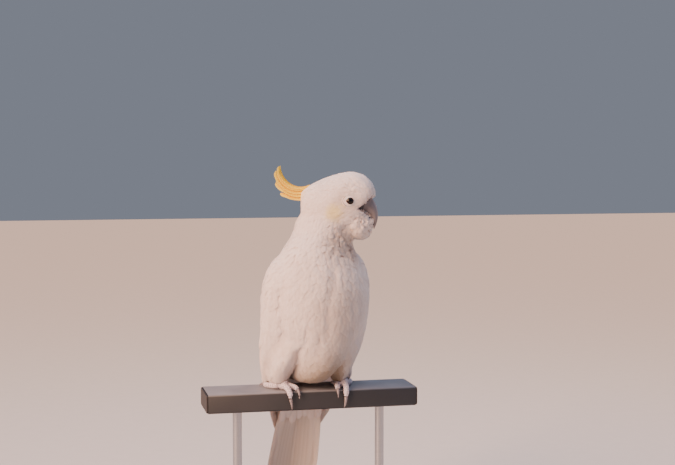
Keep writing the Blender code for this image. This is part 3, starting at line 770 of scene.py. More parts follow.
def makeCoat():
    points = onSkin(5, lambda p: featherLength(p) * coatPlan["spacing"], 11)
    b, h = toBird(points), toHead(points)
    angle = wingAngle(b)
    covered = mix(*coatPlan["overWing"], ease(b[:, 2], 20, 70))
    inWing = sample(makeField(("wing_left", "wing_right"), body["step"] * mm, 4, 0), points) < 0.4 * mm
    lowest = wing["coatFrom"] - 20 * ease(angle, 105, 165) + 5 * lattice(b, 19.0, 14)
    underWing = inWing & (b[:, 2] < lowest) & (angle > readTable(wingEdge, b[:, 2], 1) + covered)
    underWing |= inWing & (b[:, 2] < -20)
    ex, ez = coatPlan["bareEye"]
    bare = np.zeros(len(points), bool)
    for side in (1, -1):
        q = (h - np.array(eye["place"]) * (side, 1, 1)) / (99, ex, ez)
        bare |= (np.linalg.norm(q, axis=1) < 1) & (h[:, 0] * side > 15)
    bill = sample(makeField(("bill_upper", "bill_lower"), mm, 6, 0), points) < 0.5 * mm
    keep = ~(underWing | bare | bill | (inGape(h) > -0.7))
    points = points[keep]
    length = featherLength(points)
    kept = spaced(points, length * coatPlan["spacing"] * mm, 12)
    points, length = points[kept], length[kept]
    random = np.random.default_rng(13)
    length = length * random.uniform(0.85, 1.15, len(length))
    ruffle = ruffled(toBird(points), toHead(points))
    order = np.argsort(-toBird(points)[:, 2])      # from the top down, so that each piece is one region
    starts = range(0, len(order), coatPlan["perPiece"])
    for piece, at in enumerate(starts, 1):
        some = order[at:at + coatPlan["perPiece"]]
        layVanes(f"coat_{piece}", points[some], length[some], length[some] * coatPlan["width"], 20 + piece,
                 ruffle[some])
    print("coat", len(points), "feathers in", len(starts), "pieces")


makeCoat()


# Crown: long white feathers over the smaller ones, from the forehead back to the root of the crest

crown = {"length": (24, 34), "width": 7.5, "across": 13, "from": 24, "to": -34, "rows": 8, "inRow": 6}


def makeCrown():
    random = np.random.default_rng(41)
    rows, inRow = crown["rows"], crown["inRow"]
    row, place = [a.ravel() for a in np.meshgrid(np.arange(rows), np.arange(inRow), indexing="ij")]
    ahead = mix(crown["from"], crown["to"], (row + random.uniform(-0.3, 0.3, len(row))) / (rows - 1))
    side = (place - (inRow - 1) / 2 + 0.5 * (row % 2) - 0.25) / inRow * 2 * crown["across"]
    above = fromHead(np.stack([side, -ahead, np.full(len(row), 34.0)], axis=1))
    size = random.uniform(*crown["length"], len(row)) * mix(1.0, 0.62, ease(ahead, 4, 24))
    layVanes("crown_plumes", settle(flesh, above, 0, 8), size, np.full(len(row), crown["width"]), 42,
             cup=0.3, thick=0.2, tipOut=0.5)


makeCrown()


# Wings: rows of feathers along lines that keep their share of the way from the wing's front edge to its back

flight = {
    # row, count, root height, tip heights front and back, width, depths of root and tip under the outline
    "rows": [
        ("median", 17, 119, 98, 91, 11.5, 1.9, 0.0),
        ("median", 16, 108, 85, 76, 12.5, 2.1, 0.0),
        ("greater", 14, 95, 57, 43, 14.5, 2.9, 0.1),
        ("secondary", 12, 78, 2, -30, 17.5, 3.9, 0.2),
        ("primary", 10, 14, 0, 0, 13.5, 0, 0),
    ],
    # tip heights of the primaries from front to back, and the share of the row where the longest is
    "front": -96, "longest": -107, "back": -34, "peak": 0.35,
    # dust is the share of dust and painted shade along each feather's edges and tip
    "roll": 0.09, "thick": 0.45, "dustAndShading": 0.26,
}
flightStations = np.array([0, 0.12, 0.26, 0.4, 0.54, 0.68, 0.8, 0.9, 0.965])


def wingPoint(side, z, share, under):
    # On the body's section at this height, an ellipse, pushed out by the wing's thickness times the root of
    # a sine across it, less the depth under its outline
    middle, half, depth = [readTable(wingSection, z, k) for k in (1, 2, 3)]
    start, end, thickness = [readTable(wingEdge, z, k) for k in (1, 2, 3)]
    angle = np.radians(mix(start, end, share))
    out = thickness * np.sqrt(np.sin(np.pi * np.clip(share, 0.05, 0.95))) - under
    p = np.stack([side * (half + out) * np.sin(angle), middle - (depth + out) * np.cos(angle), z], axis=-1)
    up = unit(np.stack([side * np.sin(angle) / half, -np.cos(angle) / depth, np.zeros_like(z)], axis=-1))
    p, up = fromBird(p), up @ birdAxes.T
    snap = ease(z, -46, -4)[..., None]
    return mix(p, settle(flesh, p, -under * mm), snap), unit(mix(up, normalAt(flesh, p), snap * 0.8))


def dustyShadedEdges(coat, stack, worn):
    # The same markings for every point of a feather, darker along its edges and its tip: dust and wear, and
    # painted shade where the feathers overlap
    edge = np.tile(np.abs(acrossVane) ** 3, len(stack)) + np.repeat(ease(stack, 0.85, 1), 6)
    edge = np.append(edge, [0, 1])
    each = np.repeat(coat[:, None], len(edge), axis=1)
    each[..., 1] += worn * np.minimum(edge, 1)
    return each


def makeWing(side, name):
    random = np.random.default_rng(51 if side > 0 else 52)
    s = flightStations[None]
    spines, ups, halves, hugs = [], [], [], []
    for row, count, top, tipFront, tipBack, width, deep, shallow in flight["rows"]:
        share = mix(0.09, 0.98, (np.arange(count) + 0.5) / count)[:, None]
        order = np.arange(count)[:, None] / (count - 1)
        if row == "primary":
            share = mix(0.13, 0.86, order**1.2)
            peak, longest = flight["peak"], flight["longest"]
            rising = mix(flight["front"], longest, np.sin(order / peak * 1.57))
            falling = mix(longest, flight["back"], (np.maximum(order - peak, 0) / (1 - peak)) ** 1.1)
            tip = np.where(order < peak, rising, falling)
            z = mix(top - 8 * order, tip, s)
            thickness = readTable(wingEdge, z, 3)
            under = mix(3.4, 0.12 * thickness, ease(s, 0, 0.35))
            under = under + (1 - order) * thickness * 0.5 * ease(s, 0, 0.5)
        else:
            tip = mix(tipFront, tipBack, share) + random.uniform(-2.4, 2.4, (count, 1))
            z = mix(top + random.uniform(-1, 1, (count, 1)), tip, s)
            under = mix(deep, shallow, s**0.8) + random.uniform(-0.12, 0.12, (count, 1)) + 0.35 * (1 - order)
            under = under + 1.3 * (1 - ease(share, 0.02, 0.2)) * ease(z, 10, 60)
        drift = random.uniform(-0.012, 0.012, (count, 1)) * s
        p, up = wingPoint(side, z, np.clip(share + drift, 0.01, 0.985), under)
        along = unit(np.gradient(p, axis=1))
        roll = -side * (flight["roll"] + random.normal(0, 0.01, (count, 1, 1)))
        up = swing(squareTo(up, along), along, roll)
        half = width / 2 * mm * outline(s, 0.5, 0.62 if row == "primary" else 0.7) * np.ones((count, 1))
        half *= mix(1, 0.62, ease(-z, 30, 100))
        spines.append(p)
        ups.append(up)
        halves.append(half)
        hugs.append(ease(z, -46, -4) * np.ones_like(half))
    spine, up, half, hug = [np.concatenate(part) for part in (spines, ups, halves, hugs)]
    coat = markings(spine[:, 4], random.uniform(0.2, 1, len(spine)))
    coat = dustyShadedEdges(coat, flightStations, flight["dustAndShading"])
    featherMesh(name, spine, up, half, 0.10, flight["thick"] * mm, coat,
                (name.replace("feathers", "wing"),), flightStations, hug, side * flight["roll"])


makeWing(1, "feathers_left")
makeWing(-1, "feathers_right")
print("wing feathers made")


# Tail: twelve feathers fanned a little, the middle pair on top

tail = {
    "root": (0, 66, -2), "slope": 66, "length": 178, "width": 18, "arch": 0.22, "count": 12,
    "half": [(0, 20), (30, 29), (80, 34), (130, 37), (156, 36.5), (178, 34)],
    "thickness": [(0, 14), (30, 12), (80, 8), (130, 5.5), (156, 4), (178, 2.5)],
    # rows of coverts: start along the tail, length, count, width and depth of the root
    "coverts": [(14, 46, 7, 14, 2.6), (0, 42, 8, 13, 2.2), (-14, 36, 9, 12, 1.8)],
    # dust and covertDustAndShading are shares of dust and painted shade along each feather's edges and tip
    "dustAndShading": 0.26, "covertDustAndShading": 0.1,
}
tailSlope = math.radians(tail["slope"])
tailAhead = np.array([0, math.cos(tailSlope), -math.sin(tailSlope)])
tailBack = np.array([0, math.sin(tailSlope), math.cos(tailSlope)])


def onTail(run, across, lift):     # a place by its way along the tail, across it and over its middle
    middle = np.array(tail["root"]) + run[..., None] * tailAhead + lift[..., None] * tailBack
    return middle + across[..., None] * (1, 0, 0)


def tailSize(run):     # half width and thickness of the tail
    return [np.interp(run, *np.array(tail[key]).T) for key in ("half", "thickness")]


def makeTail():
    # Each feather runs down the tail at its own share of the half width, over an arch that falls with the
    # square of the way across, the middle ones highest
    s = np.linspace(0.02, 0.985, 12)
    rank = np.arange(tail["count"]) - (tail["count"] - 1) / 2
    share = rank / (tail["count"] / 2 - 0.5)
    length = tail["length"] * (1 - 0.075 * np.abs(share) ** 2.2)
    run = 6 + (length[:, None] - 6) * s[None]
    half, thick = tailSize(run)
    across = share[:, None] * (half - tail["width"] * 0.44)
    lift = thick * (0.5 - 0.085 * np.abs(rank)[:, None]) - tail["arch"] * across**2 / half - 0.4
    lean = 2 * tail["arch"] * across / half
    up = unit(tailBack + lean[..., None] * (1.0, 0, 0) + (np.sign(rank) * 0.05)[:, None, None] * (1.0, 0, 0))
    width = tail["width"] / 2 * mm * outline(s, 0.55, 0.8)[None] * np.ones((tail["count"], 1))
    p = fromBird(onTail(run, across, lift))
    coat = markings(p[:, 6], np.random.default_rng(61).uniform(0.3, 0.9, tail["count"]))
    coat[:, 0] = 0.06 * (np.abs(rank) > 1)      # the tail's inner webs are washed with yellow
    coat[:, 1] *= 0.5
    coat = dustyShadedEdges(coat, s, tail["dustAndShading"])
    featherMesh("tail_feathers", p, up @ birdAxes.T, width, 0.12, 0.5 * mm, coat, ("tail",), s)


def makeTailCoverts():
    # Rows over and under the root of the tail: from the rump's skin on to the tail's own surface, in 30 mm
    random = np.random.default_rng(62)
    s = flightStations[None]
    spines, ups, halves = [], [], []
    for side in (1, -1):
        for start, length, count, width, under in tail["coverts"]:
            share = np.linspace(-1, 1, count)[:, None] * 0.92
            start = start + random.uniform(-3, 3, (count, 1)) - 5 * share**2
            run = start + length * random.uniform(0.9, 1.1, (count, 1)) * s
            half, thick = tailSize(run)
            across = share * (half - width * 0.3)
            lift = side * (thick * 0.5 + 1.6 - under * (1 - s)) - tail["arch"] * across**2 / half
            p = fromBird(onTail(run, across, lift))
            lean = 2 * tail["arch"] * across / half
            up = unit(side * (tailBack + lean[..., None] * (1.0, 0, 0))) @ birdAxes.T
            snap = (1 - ease(run, -4, 26))[..., None]
            p = mix(p, settle(flesh, p, -under * (1 - s) * mm), snap)
            up = unit(mix(up, normalAt(flesh, p), snap * 0.8))
            spines.append(p)
            ups.append(squareTo(up, unit(np.gradient(p, axis=1))))
            halves.append(width / 2 * mm * outline(s, 0.5, 0.62) * np.ones((count, 1)))
    spine, up, half = [np.concatenate(part) for part in (spines, ups, halves)]
    coat = markings(spine[:, 4], random.uniform(0.3, 1, len(spine)))
    coat = dustyShadedEdges(coat, flightStations, tail["covertDustAndShading"])
    featherMesh("tail_coverts", spine, up, half, 0.12, 0.4 * mm, coat, (), flightStations)


makeTail()
makeTailCoverts()
print("tail made")


# Crest: sickle feathers in pairs on the arcs of the solid crest, curved up and hollowed along the shaft

crest = {"centre": (-58, 43), "from": 64, "droop": 0.7,
         # radius, tip angle, width, side, roll and the flare of the tip, of each feather
         "feathers": [(25.4, 186, 10.6, 0.4, 0.0, 1.6), (26.8, 184, 10.0, -1.8, -0.35, 1.4),
                      (29.0, 174, 11.5, 2.0, 0.35, 5.0), (30.2, 171, 11.5, -1.6, -0.3, 4.0),
                      (32.6, 152, 11.5, 2.4, 0.35, 5.4), (33.4, 149, 11.5, -2.4, -0.35, 4.8),
                      (34.6, 147, 11.5, 0.4, 0.05, 4.6), (37.4, 129, 11.5, -2.0, -0.3, 5.2),
                      (38.6, 123, 11.0, 1.4, 0.2, 4.8)],
         "vane": ("#e4b612", "#d89f06"), "tip": "#f8da54"}


def makeCrest():
    # Each spine is an arc in the head's upright plane: the centre plus a radius, which flares at the tip,
    # times the cosine and sine of an angle
    s = np.array([0, 0.08, 0.18, 0.28, 0.38, 0.48, 0.58, 0.68, 0.77, 0.85, 0.92, 0.97])
    radius, tip, width, side, roll, flare = [np.array(c)[:, None] for c in zip(*crest["feathers"])]
    random = np.random.default_rng(71)
    angle = np.radians(mix(crest["from"], tip, s[None]))
    wave = 0.35 * np.sin(7 * s[None] + random.uniform(0, 6, (len(radius), 1)))
    reach = radius + wave * s[None] + flare * s[None] ** 7
    x = side * mix(0.6, 1.25, s[None])
    back, high = crest["centre"]
    p = np.stack([x, -(back + reach * np.cos(angle)), high - reach * np.sin(angle)], -1)
    inward = np.stack([np.zeros_like(x * angle), np.cos(angle), np.sin(angle)], -1)
    up = unit(inward * np.cos(roll)[..., None] + np.array([1.0, 0, 0]) * np.sin(roll)[..., None])
    fray = 1 + 0.06 * random.normal(0, 1, (len(radius), len(s))) * ease(s, 0.4, 0.9)[None]
    half = width / 2 * mm * outline(s, 0.42, 0.72)[None] * fray
    each = len(s) * 6 + 2
    shade = np.zeros((len(radius), each, 4))
    shade[:, :, 0] = 1
    pale = ease(np.abs(np.tile(acrossVane, len(s))), 0.5, 1)[None] * 0.75      # paler at its edges and tip
    pale = pale + ease(np.repeat(s, 6), 0.6, 1)[None] * 0.6
    shade[:, :-2, 1] = np.minimum(pale, 1)
    shade[:, -1, 1] = 0.9
    shade[:, :, 2] = random.uniform(0, 1, (len(radius), 1))
    shade[:, :, 3] = 1
    solids = [f"crest_feather_{k}" for k in (1, 2, 3, 4)]
    return featherMesh("crest_plumes", fromHead(p), up @ headAxes.T, half, crest["droop"], 0.4 * mm, shade,
                       solids, s)


def makeCrestMaterial():
    # Carotenoid-yellow crest feather: deep yellow along the shaft, paler where the loose barbs end
    made, tree = newMaterial("yellowCrestFeather")
    coat = addNode(tree, "Attribute", {"attribute_name": "coat"})
    split = addNode(tree, "SeparateColor", Color=(coat, "Color"))
    base = addNode(tree, "Mix", mixColours, i0=(split, "Blue"),
                   i6=linear(crest["vane"][0]), i7=linear(crest["vane"][1]))
    tipped = addNode(tree, "Mix", mixColours, i0=(split, "Green"), i6=(base, 2), i7=linear(crest["tip"]))
    vane = addNode(tree, "UVMap", {"uv_map": "vane"})
    streak = addNode(tree, "Mapping", Vector=(vane, "UV"), Scale=(2.2, 0.25, 1))
    barbs = addNode(tree, "TexNoise", Vector=(streak, 0), Scale=1.0, Detail=3.0)
    bump = addNode(tree, "Bump", Height=(barbs, 0), Strength=0.3, Distance=0.2 * mm)
    shaded(tree, Base_Color=(tipped, 2), Roughness=0.66, IOR=1.54, Normal=(bump, "Normal"),
           Subsurface_Weight=0.25, Subsurface_Radius=(1.0, 0.7, 0.25), Subsurface_Scale=2.0 * mm,
           Specular_IOR_Level=0.2)
    return made


makeCrest().data.materials[0] = makeCrestMaterial()
print("crest made")


# Grids

def gridMesh(name, points, material, poles=True):
    # A surface of rows of points: each row closes on itself, and each end closes at a pole or joins the other
    rows, sides = points.shape[:2]
    j = np.arange(sides)
    n = (j + 1) % sides
    i = np.arange(rows - 1 if poles else rows)[:, None]
    after = (i + 1) % rows
    ring, nextRing = i * sides, after * sides
    faces = [np.stack([ring + j, ring + n, nextRing + n, nextRing + j], -1).reshape(-1, 4)]
    flat = points.reshape(-1, 3)
    if poles:
        flat = np.vstack([flat, points[0].mean(0), points[-1].mean(0)])
        last = (rows - 1) * sides
        faces += [np.stack([np.full(sides, rows * sides), n, j], -1),
                  np.stack([np.full(sides, rows * sides + 1), last + j, last + n], -1)]
    a, b, c = [flat[faces[0][:, k]] for k in (0, 1, 2)]
    if np.einsum("ij,ij->", a - flat.mean(0), np.cross(b - flat.mean(0), c - flat.mean(0))) < 0:
        faces = [f[:, ::-1] for f in faces]
    return newMesh(name, flat, faces, material)


# Eyes and lids

def makeEyeMaterial():
    # Cornea and iris, wet and clear: near black, the brown iris seen only in the light, a sharp highlight
    made, tree = newMaterial("wetCornea")
    polar = addNode(tree, "UVMap", {"uv_map": "polar"})
    axis = addNode(tree, "SeparateXYZ", Vector=(polar, "UV"))
    fibre = addNode(tree, "TexNoise", Vector=(polar, "UV"), Scale=24.0, Detail=4.0)
    iris = addNode(tree, "Mix", mixColours, i0=(fibre, 0), i6=linear("#120a07"), i7=linear("#26140d"))
    ramp = addNode(tree, "ValToRGB", i0=(axis, "Y"))
    at = ramp.color_ramp.elements
    at[0].position, at[0].color = eye["pupil"] / 180, (0, 0, 0, 1)
    at[1].position, at[1].color = (eye["pupil"] + 3) / 180, (1, 1, 1, 1)
    edge = at.new(eye["iris"] / 180)
    edge.color = (0.6, 0.6, 0.6, 1)
    edge = at.new((eye["iris"] + 5) / 180)
    edge.color = (0, 0, 0, 1)
    colour = addNode(tree, "Mix", mixColours, i0=(ramp, 0), i6=linear("#040303"), i7=(iris, 2))
    shaded(tree, Base_Color=(colour, 2), Roughness=0.05, IOR=1.38)
    return made


def eyeAxes(side):     # the way the eye looks, and square to it the ways ahead and up
    look = unit(np.array(eye["look"]) * (side, 1, 1))
    fore = squareTo(np.array([0, -1.0, 0]), look)
    top = np.cross(look, fore)
    return look, fore, top * np.sign(top[2])


def makeEye(side, name, material):
    # A ball whose pole looks out: the cosine of the polar angle along its look, the sine of it round that,
    # with the cornea's bulge at the pole
    look, fore, top = eyeAxes(side)
    downRows, aroundRow = np.linspace(0.02, np.pi - 0.02, 40), np.arange(64) / 64 * math.tau
    polar, turn = np.meshgrid(downRows, aroundRow, indexing="ij")
    around = np.cos(turn)[..., None] * fore + np.sin(turn)[..., None] * top
    ball = np.cos(polar)[..., None] * look + np.sin(polar)[..., None] * around
    reach = eye["radius"] * 0.985 * ball * (1 + 0.05 * hump(polar, 0, 0.55))[..., None]
    mesh, corners = gridMesh(name, fromHead(np.array(eye["place"]) * (side, 1, 1) + reach), material)
    uv = np.stack([turn / math.tau, polar / np.pi], -1).reshape(-1, 2)
    addUv(mesh, "polar", np.vstack([uv, [0, 0], [0, 1]]), corners)
    addPiece(name, mesh, (name.replace("ball", "eye"),))


lids = {
    "opening": (4.55, 4.35), "outer": (10.0, 8.2), "lift": 0.9, "wrinkle": 0.36, "wrinkleMm": 1.4,
    "over": 34, "beneath": 10, "sides": 120,     # rows of points over the ring and beneath it, and round it
    # height, and place and width as shares of the way out: the lid's rim, the fold outside it, and the moat
    "rim": (0.6, 0.08, 0.07), "fold": (0.5, 0.42, 0.14), "moat": (1.3, 0.74, 0.07), "edge": 1.4,
}


def makeLidMaterial():
    # Bare skin round the eye, powdery and soft: chalky pinkish white, painted grey for shade in its folds
    made, tree = newMaterial("bareEyeSkin")
    # the fold attribute carries painted shade for the creases
    fold = addNode(tree, "Attribute", {"attribute_name": "fold"})
    split = addNode(tree, "SeparateColor", Color=(fold, "Color"))
    coords = addNode(tree, "TexCoord")
    fine = addNode(tree, "TexNoise", Vector=(coords, "Object"), Scale=900.0, Detail=3.0)
    skin = addNode(tree, "Mix", mixColours, i0=(fine, 0), i6=linear("#ece2df"), i7=linear("#fbf6f4"))
    foldShade = addNode(tree, "Mix", mixColours, i0=(split, "Red"), i6=(skin, 2), i7=linear("#92827f"))
    rim = addNode(tree, "Mix", mixColours, i0=(split, "Green"), i6=(foldShade, 2), i7=linear("#4a3c3b"))
    bump = addNode(tree, "Bump", Height=(fine, 0), Strength=0.35, Distance=0.12 * mm)
    shaded(tree, Base_Color=(rim, 2), Roughness=0.6, IOR=1.45, Normal=(bump, "Normal"),
           Subsurface_Weight=0.3, Subsurface_Radius=(1.0, 0.5, 0.35), Subsurface_Scale=2 * mm,
           Specular_IOR_Level=0.3)
    return made


def makeLids(side, name, material):
    # A closed ring: over the top from the eye's opening out to the feathers, and back beneath to the opening
    look, fore, top = eyeAxes(side)
    over, beneath, sides = lids["over"], lids["beneath"], lids["sides"]
    out = np.concatenate([np.linspace(0, 1, over) ** 1.15, np.linspace(1, 0, beneath)])
    t, turn = np.meshgrid(out, np.arange(sides) / sides * math.tau, indexing="ij")
    under = np.repeat([0.0, 1.0], [over, beneath])[:, None]
    ax, az = lids["opening"]
    bx, bz = lids["outer"]
    cornerPull = 1 + 0.12 * hump(np.cos(turn), -1, 0.12) * (1 - t)       # the opening's back corner
    fx, fz = mix(ax, bx, t) * np.cos(turn) * cornerPull, mix(az, bz, t) * np.sin(turn)
    r = np.hypot(fx, fz)
    centre = np.array(eye["place"]) * (side, 1, 1)
    flat = centre + fx[..., None] * fore + fz[..., None] * top
    ballHigh = np.sqrt(np.maximum((eye["radius"] + 0.25) ** 2 - r**2, 0.1))
    start = fromHead(flat + look * 6.0)
    ground = settle(flesh, start.reshape(-1, 3), -0.9 * mm, 4).reshape(start.shape)
    groundHigh = np.sum((toHead(ground) - centre) * look, axis=-1)
    high = mix(ballHigh + 0.1, groundHigh + lids["lift"] * (1 - t), ease(t, 0.05, 0.5))
    high += lids["rim"][0] * hump(t, *lids["rim"][1:]) + lids["fold"][0] * hump(t, *lids["fold"][1:])
    waver = np.sin(3 * turn + 0.7) * 0.9 + np.sin(5 * turn + 2.1) * 0.6
    folds = np.sin(math.tau * t * (bx - ax) / lids["wrinkleMm"] + waver)
    folds = folds * ease(t, 0.12, 0.3) * (1 - ease(t, 0.75, 1))
    moat = hump(t, *lids["moat"][1:])
    high += lids["wrinkle"] * folds - lids["moat"][0] * moat - lids["edge"] * ease(t, 0.84, 1)
    high -= under * (1.6 * np.minimum(1, 4 * (1 - np.abs(2 * t - 1))) + 0.4) * np.where(t > 0.98, 0.3, 1)
    points = fromHead(flat + look * high[..., None])
    mesh, _ = gridMesh(name, points, material, poles=False)
    shade = np.zeros((len(out) * sides, 4))
    # painted shade: grey in the troughs of the wrinkles and in the groove round the ring
    shade[:, 0] = ((0.5 - 0.5 * folds) * 0.6 * (t > 0.1) + 0.85 * moat).ravel()
    shade[:, 1] = ((1 - ease(t, 0.02, 0.09)) * 0.85).ravel()
    shade[:, 3] = 1
    paint(mesh, "fold", shade)
    addPiece(name, mesh)


eyeMaterial, lidMaterial = makeEyeMaterial(), makeLidMaterial()
for side, name in ((1, "left"), (-1, "right")):
    makeEye(side, "ball_" + name, eyeMaterial)
    makeLids(side, "lids_" + name, lidMaterial)
print("eyes made")


# Bill: rings between the ridge and the cutting edge of each half, drawn in at the ridge

billHalves = {
    # ahead and up of the ridge, ahead and up of the edge, half width, from base to tip
    "bill_upper": ([(31, 8, 13, -10.5, 10.2), (36.8, 2, 20, -12, 9.8), (40.8, -6, 26.5, -13.5, 8.6),
                    (42.9, -14, 31.5, -16.5, 6.8), (43, -22.5, 35, -22, 4.9), (41.2, -30, 36.8, -29, 3.0),
                    (38.4, -36.6, 37.5, -36.2, 0.7)], 0.22),
    "bill_lower": ([(33.5, -18.5, 15, -25, 7.6), (35.4, -22.5, 21, -30.5, 7.2), (36.7, -26.5, 28, -32.5, 5.4),
                    (36.9, -29.5, 33.5, -32.0, 2.4)], 0.0),
}


def makeBillMaterial():
    # Bill horn, layered keratin worn by use: dark grey, satin, with dull flaking bands and pale scratches
    made, tree = newMaterial("billHorn")
    coords = addNode(tree, "TexCoord")
    growth = addNode(tree, "Attribute", {"attribute_name": "growth"})
    split = addNode(tree, "SeparateColor", Color=(growth, "Color"))
    blotch = addNode(tree, "TexNoise", Vector=(coords, "Object"), Scale=160.0, Detail=5.0)
    layer = addNode(tree, "TexNoise", {"noise_dimensions": "1D"}, W=(split, "Red"), Scale=26.0, Detail=3.0)
    base = addNode(tree, "Mix", mixColours, i0=(blotch, 0), i6=linear("#4e4a4d"), i7=linear("#8b868a"))
    banded = addNode(tree, "Mix", mixColours, i0=(layer, 0), i6=linear("#787174"), i7=(base, 2))
    worn = addNode(tree, "Mix", mixColours, i0=(split, "Green"), i6=(banded, 2), i7=linear("#b3aaac"))
    rough = addNode(tree, "MapRange", Value=(blotch, 0), To_Min=0.32, To_Max=0.55)
    both = addNode(tree, "Math", {"operation": "ADD"}, i0=(layer, 0), i1=(blotch, 0))
    bump = addNode(tree, "Bump", Height=(both, 0), Strength=0.5, Distance=0.25 * mm)
    shaded(tree, Base_Color=(worn, 2), Roughness=(rough, 0), IOR=1.54, Normal=(bump, "Normal"))
    return made


def makeBill():
    # Each ring is centred between ridge and edge: half their distance times a cosine, and the half width
    # times a sine, flattened towards the edge and swollen by growth rings
    material = makeBillMaterial()
    for name, (stationsOf, keel) in billHalves.items():
        rows, sides = 70, 72
        turn = np.arange(sides) / sides * math.tau
        c, s = np.cos(turn), np.sin(turn)
        topAhead, topUp, lowAhead, lowUp, half = curveThrough(stationsOf, rows).T[:, :, None]
        run = np.linspace(0, 1, rows)[:, None]
        rise = np.stack([-(topAhead - lowAhead) / 2 * c, (topUp - lowUp) / 2 * c], axis=-1)
        middle = np.stack([-(topAhead + lowAhead) / 2, (topUp + lowUp) / 2], axis=-1)
        swell = 1 + 0.006 * np.sin(run * 46 + 2 * c) + 0.01 * np.sin(run * 17 + 1)      # growth rings
        swell *= 1 + 0.05 * hump(c, -0.75, 0.2) * (run < 0.9)              # thicker cutting edge
        # near its cutting edge each half has flat sides, so the section fills out there
        full = mix(1, 0.45, ease(-c if name == "bill_upper" else c, -0.3, 0.6))
        side = half * np.sign(s) * np.abs(s) ** full * (1 - keel * np.maximum(c, 0) ** 2) * swell
        yz = middle + rise * np.minimum(swell, 1.0)[..., None]
        points = fromHead(np.concatenate([side[..., None], yz], axis=-1))
        mesh, _ = gridMesh(name.replace("bill", "horn"), points, material)
        shade = np.zeros((rows * sides + 2, 4))
        shade[:-2, 0] = (run + 0.04 * c).ravel()
        ridgeWorn = 0.55 * ease(c, 0.75, 1) * (1 - ease(run, 0.5, 0.9))
        shade[:-2, 1] = (ridgeWorn + 0.35 * ease(run, 0.86, 1)).ravel()
        shade[-2:, 0] = (0, 1)
        shade[:, 3] = 1
        paint(mesh, "growth", shade)
        addPiece(name.replace("bill", "horn"), mesh, (name,))


makeBill()
print("bill made")


# Feet and claws

feet = {"step": 0.42, "scaleMm": 2.3, "groove": 0.42, "clawStep": 0.24}


def makeLegMaterial():
    # Scaled leg skin, dry and dusty: pinkish grey plates with darker lines between them
    made, tree = newMaterial("scaledLegSkin")
    scale = addNode(tree, "Attribute", {"attribute_name": "scale"})
    split = addNode(tree, "SeparateColor", Color=(scale, "Color"))
    coords = addNode(tree, "TexCoord")
    fine = addNode(tree, "TexNoise", Vector=(coords, "Object"), Scale=700.0, Detail=4.0)
    plate = addNode(tree, "Mix", mixColours, i0=(split, "Green"), i6=linear("#d6cfe0"), i7=linear("#f2edf6"))
    dusted = addNode(tree, "Mix", mixColours, i0=(fine, 0), i6=(plate, 2), i7=linear("#d9cfd4"))
    lined = addNode(tree, "Mix", mixColours, i0=(split, "Red"), i6=(dusted, 2), i7=linear("#74666d"))
    bump = addNode(tree, "Bump", Height=(fine, 0), Strength=0.3, Distance=0.15 * mm)
    shaded(tree, Base_Color=(lined, 2), Roughness=0.62, IOR=1.5, Normal=(bump, "Normal"),
           Specular_IOR_Level=0.35)
    return made


def makeClawMaterial():
    # Claw horn, solid keratin polished by use: grey and glossy, with a fine drawn-out grain
    made, tree = newMaterial("clawHorn")
    coords = addNode(tree, "TexCoord")
    drawn = addNode(tree, "Mapping", Vector=(coords, "Object"), Scale=(1, 1, 0.25))
    grain = addNode(tree, "TexNoise", Vector=(drawn, 0), Scale=900.0, Detail=3.0)
    colour = addNode(tree, "Mix", mixColours, i0=(grain, 0), i6=linear("#635a5d"), i7=linear("#a0969a"))
    bump = addNode(tree, "Bump", Height=(grain, 0), Strength=0.3, Distance=0.1 * mm)
    shaded(tree, Base_Color=(colour, 2), Roughness=0.34, IOR=1.54, Normal=(bump, "Normal"))
    return made


def makeFeet():
    leg, horn = makeLegMaterial(), makeClawMaterial()
    for side in ("left", "right"):
        names = [f"foot_{side}"] + [f"toe_{side}_{k}" for k in (1, 2, 3, 4)]
        field = makeField(names, feet["step"] * mm, 4, 2)
        p, at = nearPoints(field, 1.2 * mm)
        first, second = cells(p / mm, feet["scaleMm"], 81)
        line = 1 - ease(second - first, 0.05, 0.75)
        field["values"][at] += (feet["groove"] * (line - 0.35) * mm).astype(np.float32)
        points, quads = surfaceOf(field)
        mesh, _ = newMesh(f"leg_{side}", points, [quads], leg)
        first, second = cells(points / mm, feet["scaleMm"], 81)
        shade = np.ones((len(points), 4))
        shade[:, 0] = 0.75 * (1 - ease(second - first, 0.05, 0.5))
        shade[:, 1] = 0.5 + 0.5 * lattice(points / mm, 3.1, 82)
        paint(mesh, "scale", shade)
        addPiece(f"leg_{side}", mesh, names)
        for k in (1, 2, 3, 4):
            points, quads = surfaceOf(makeField([f"claw_{side}_{k}"], feet["clawStep"] * mm, 4, 1))
            mesh, _ = newMesh(f"talon_{side}_{k}", points, [quads], horn)
            addPiece(f"talon_{side}_{k}", mesh, (f"claw_{side}_{k}",))


makeFeet()
print("feet made")


# Perch and stand

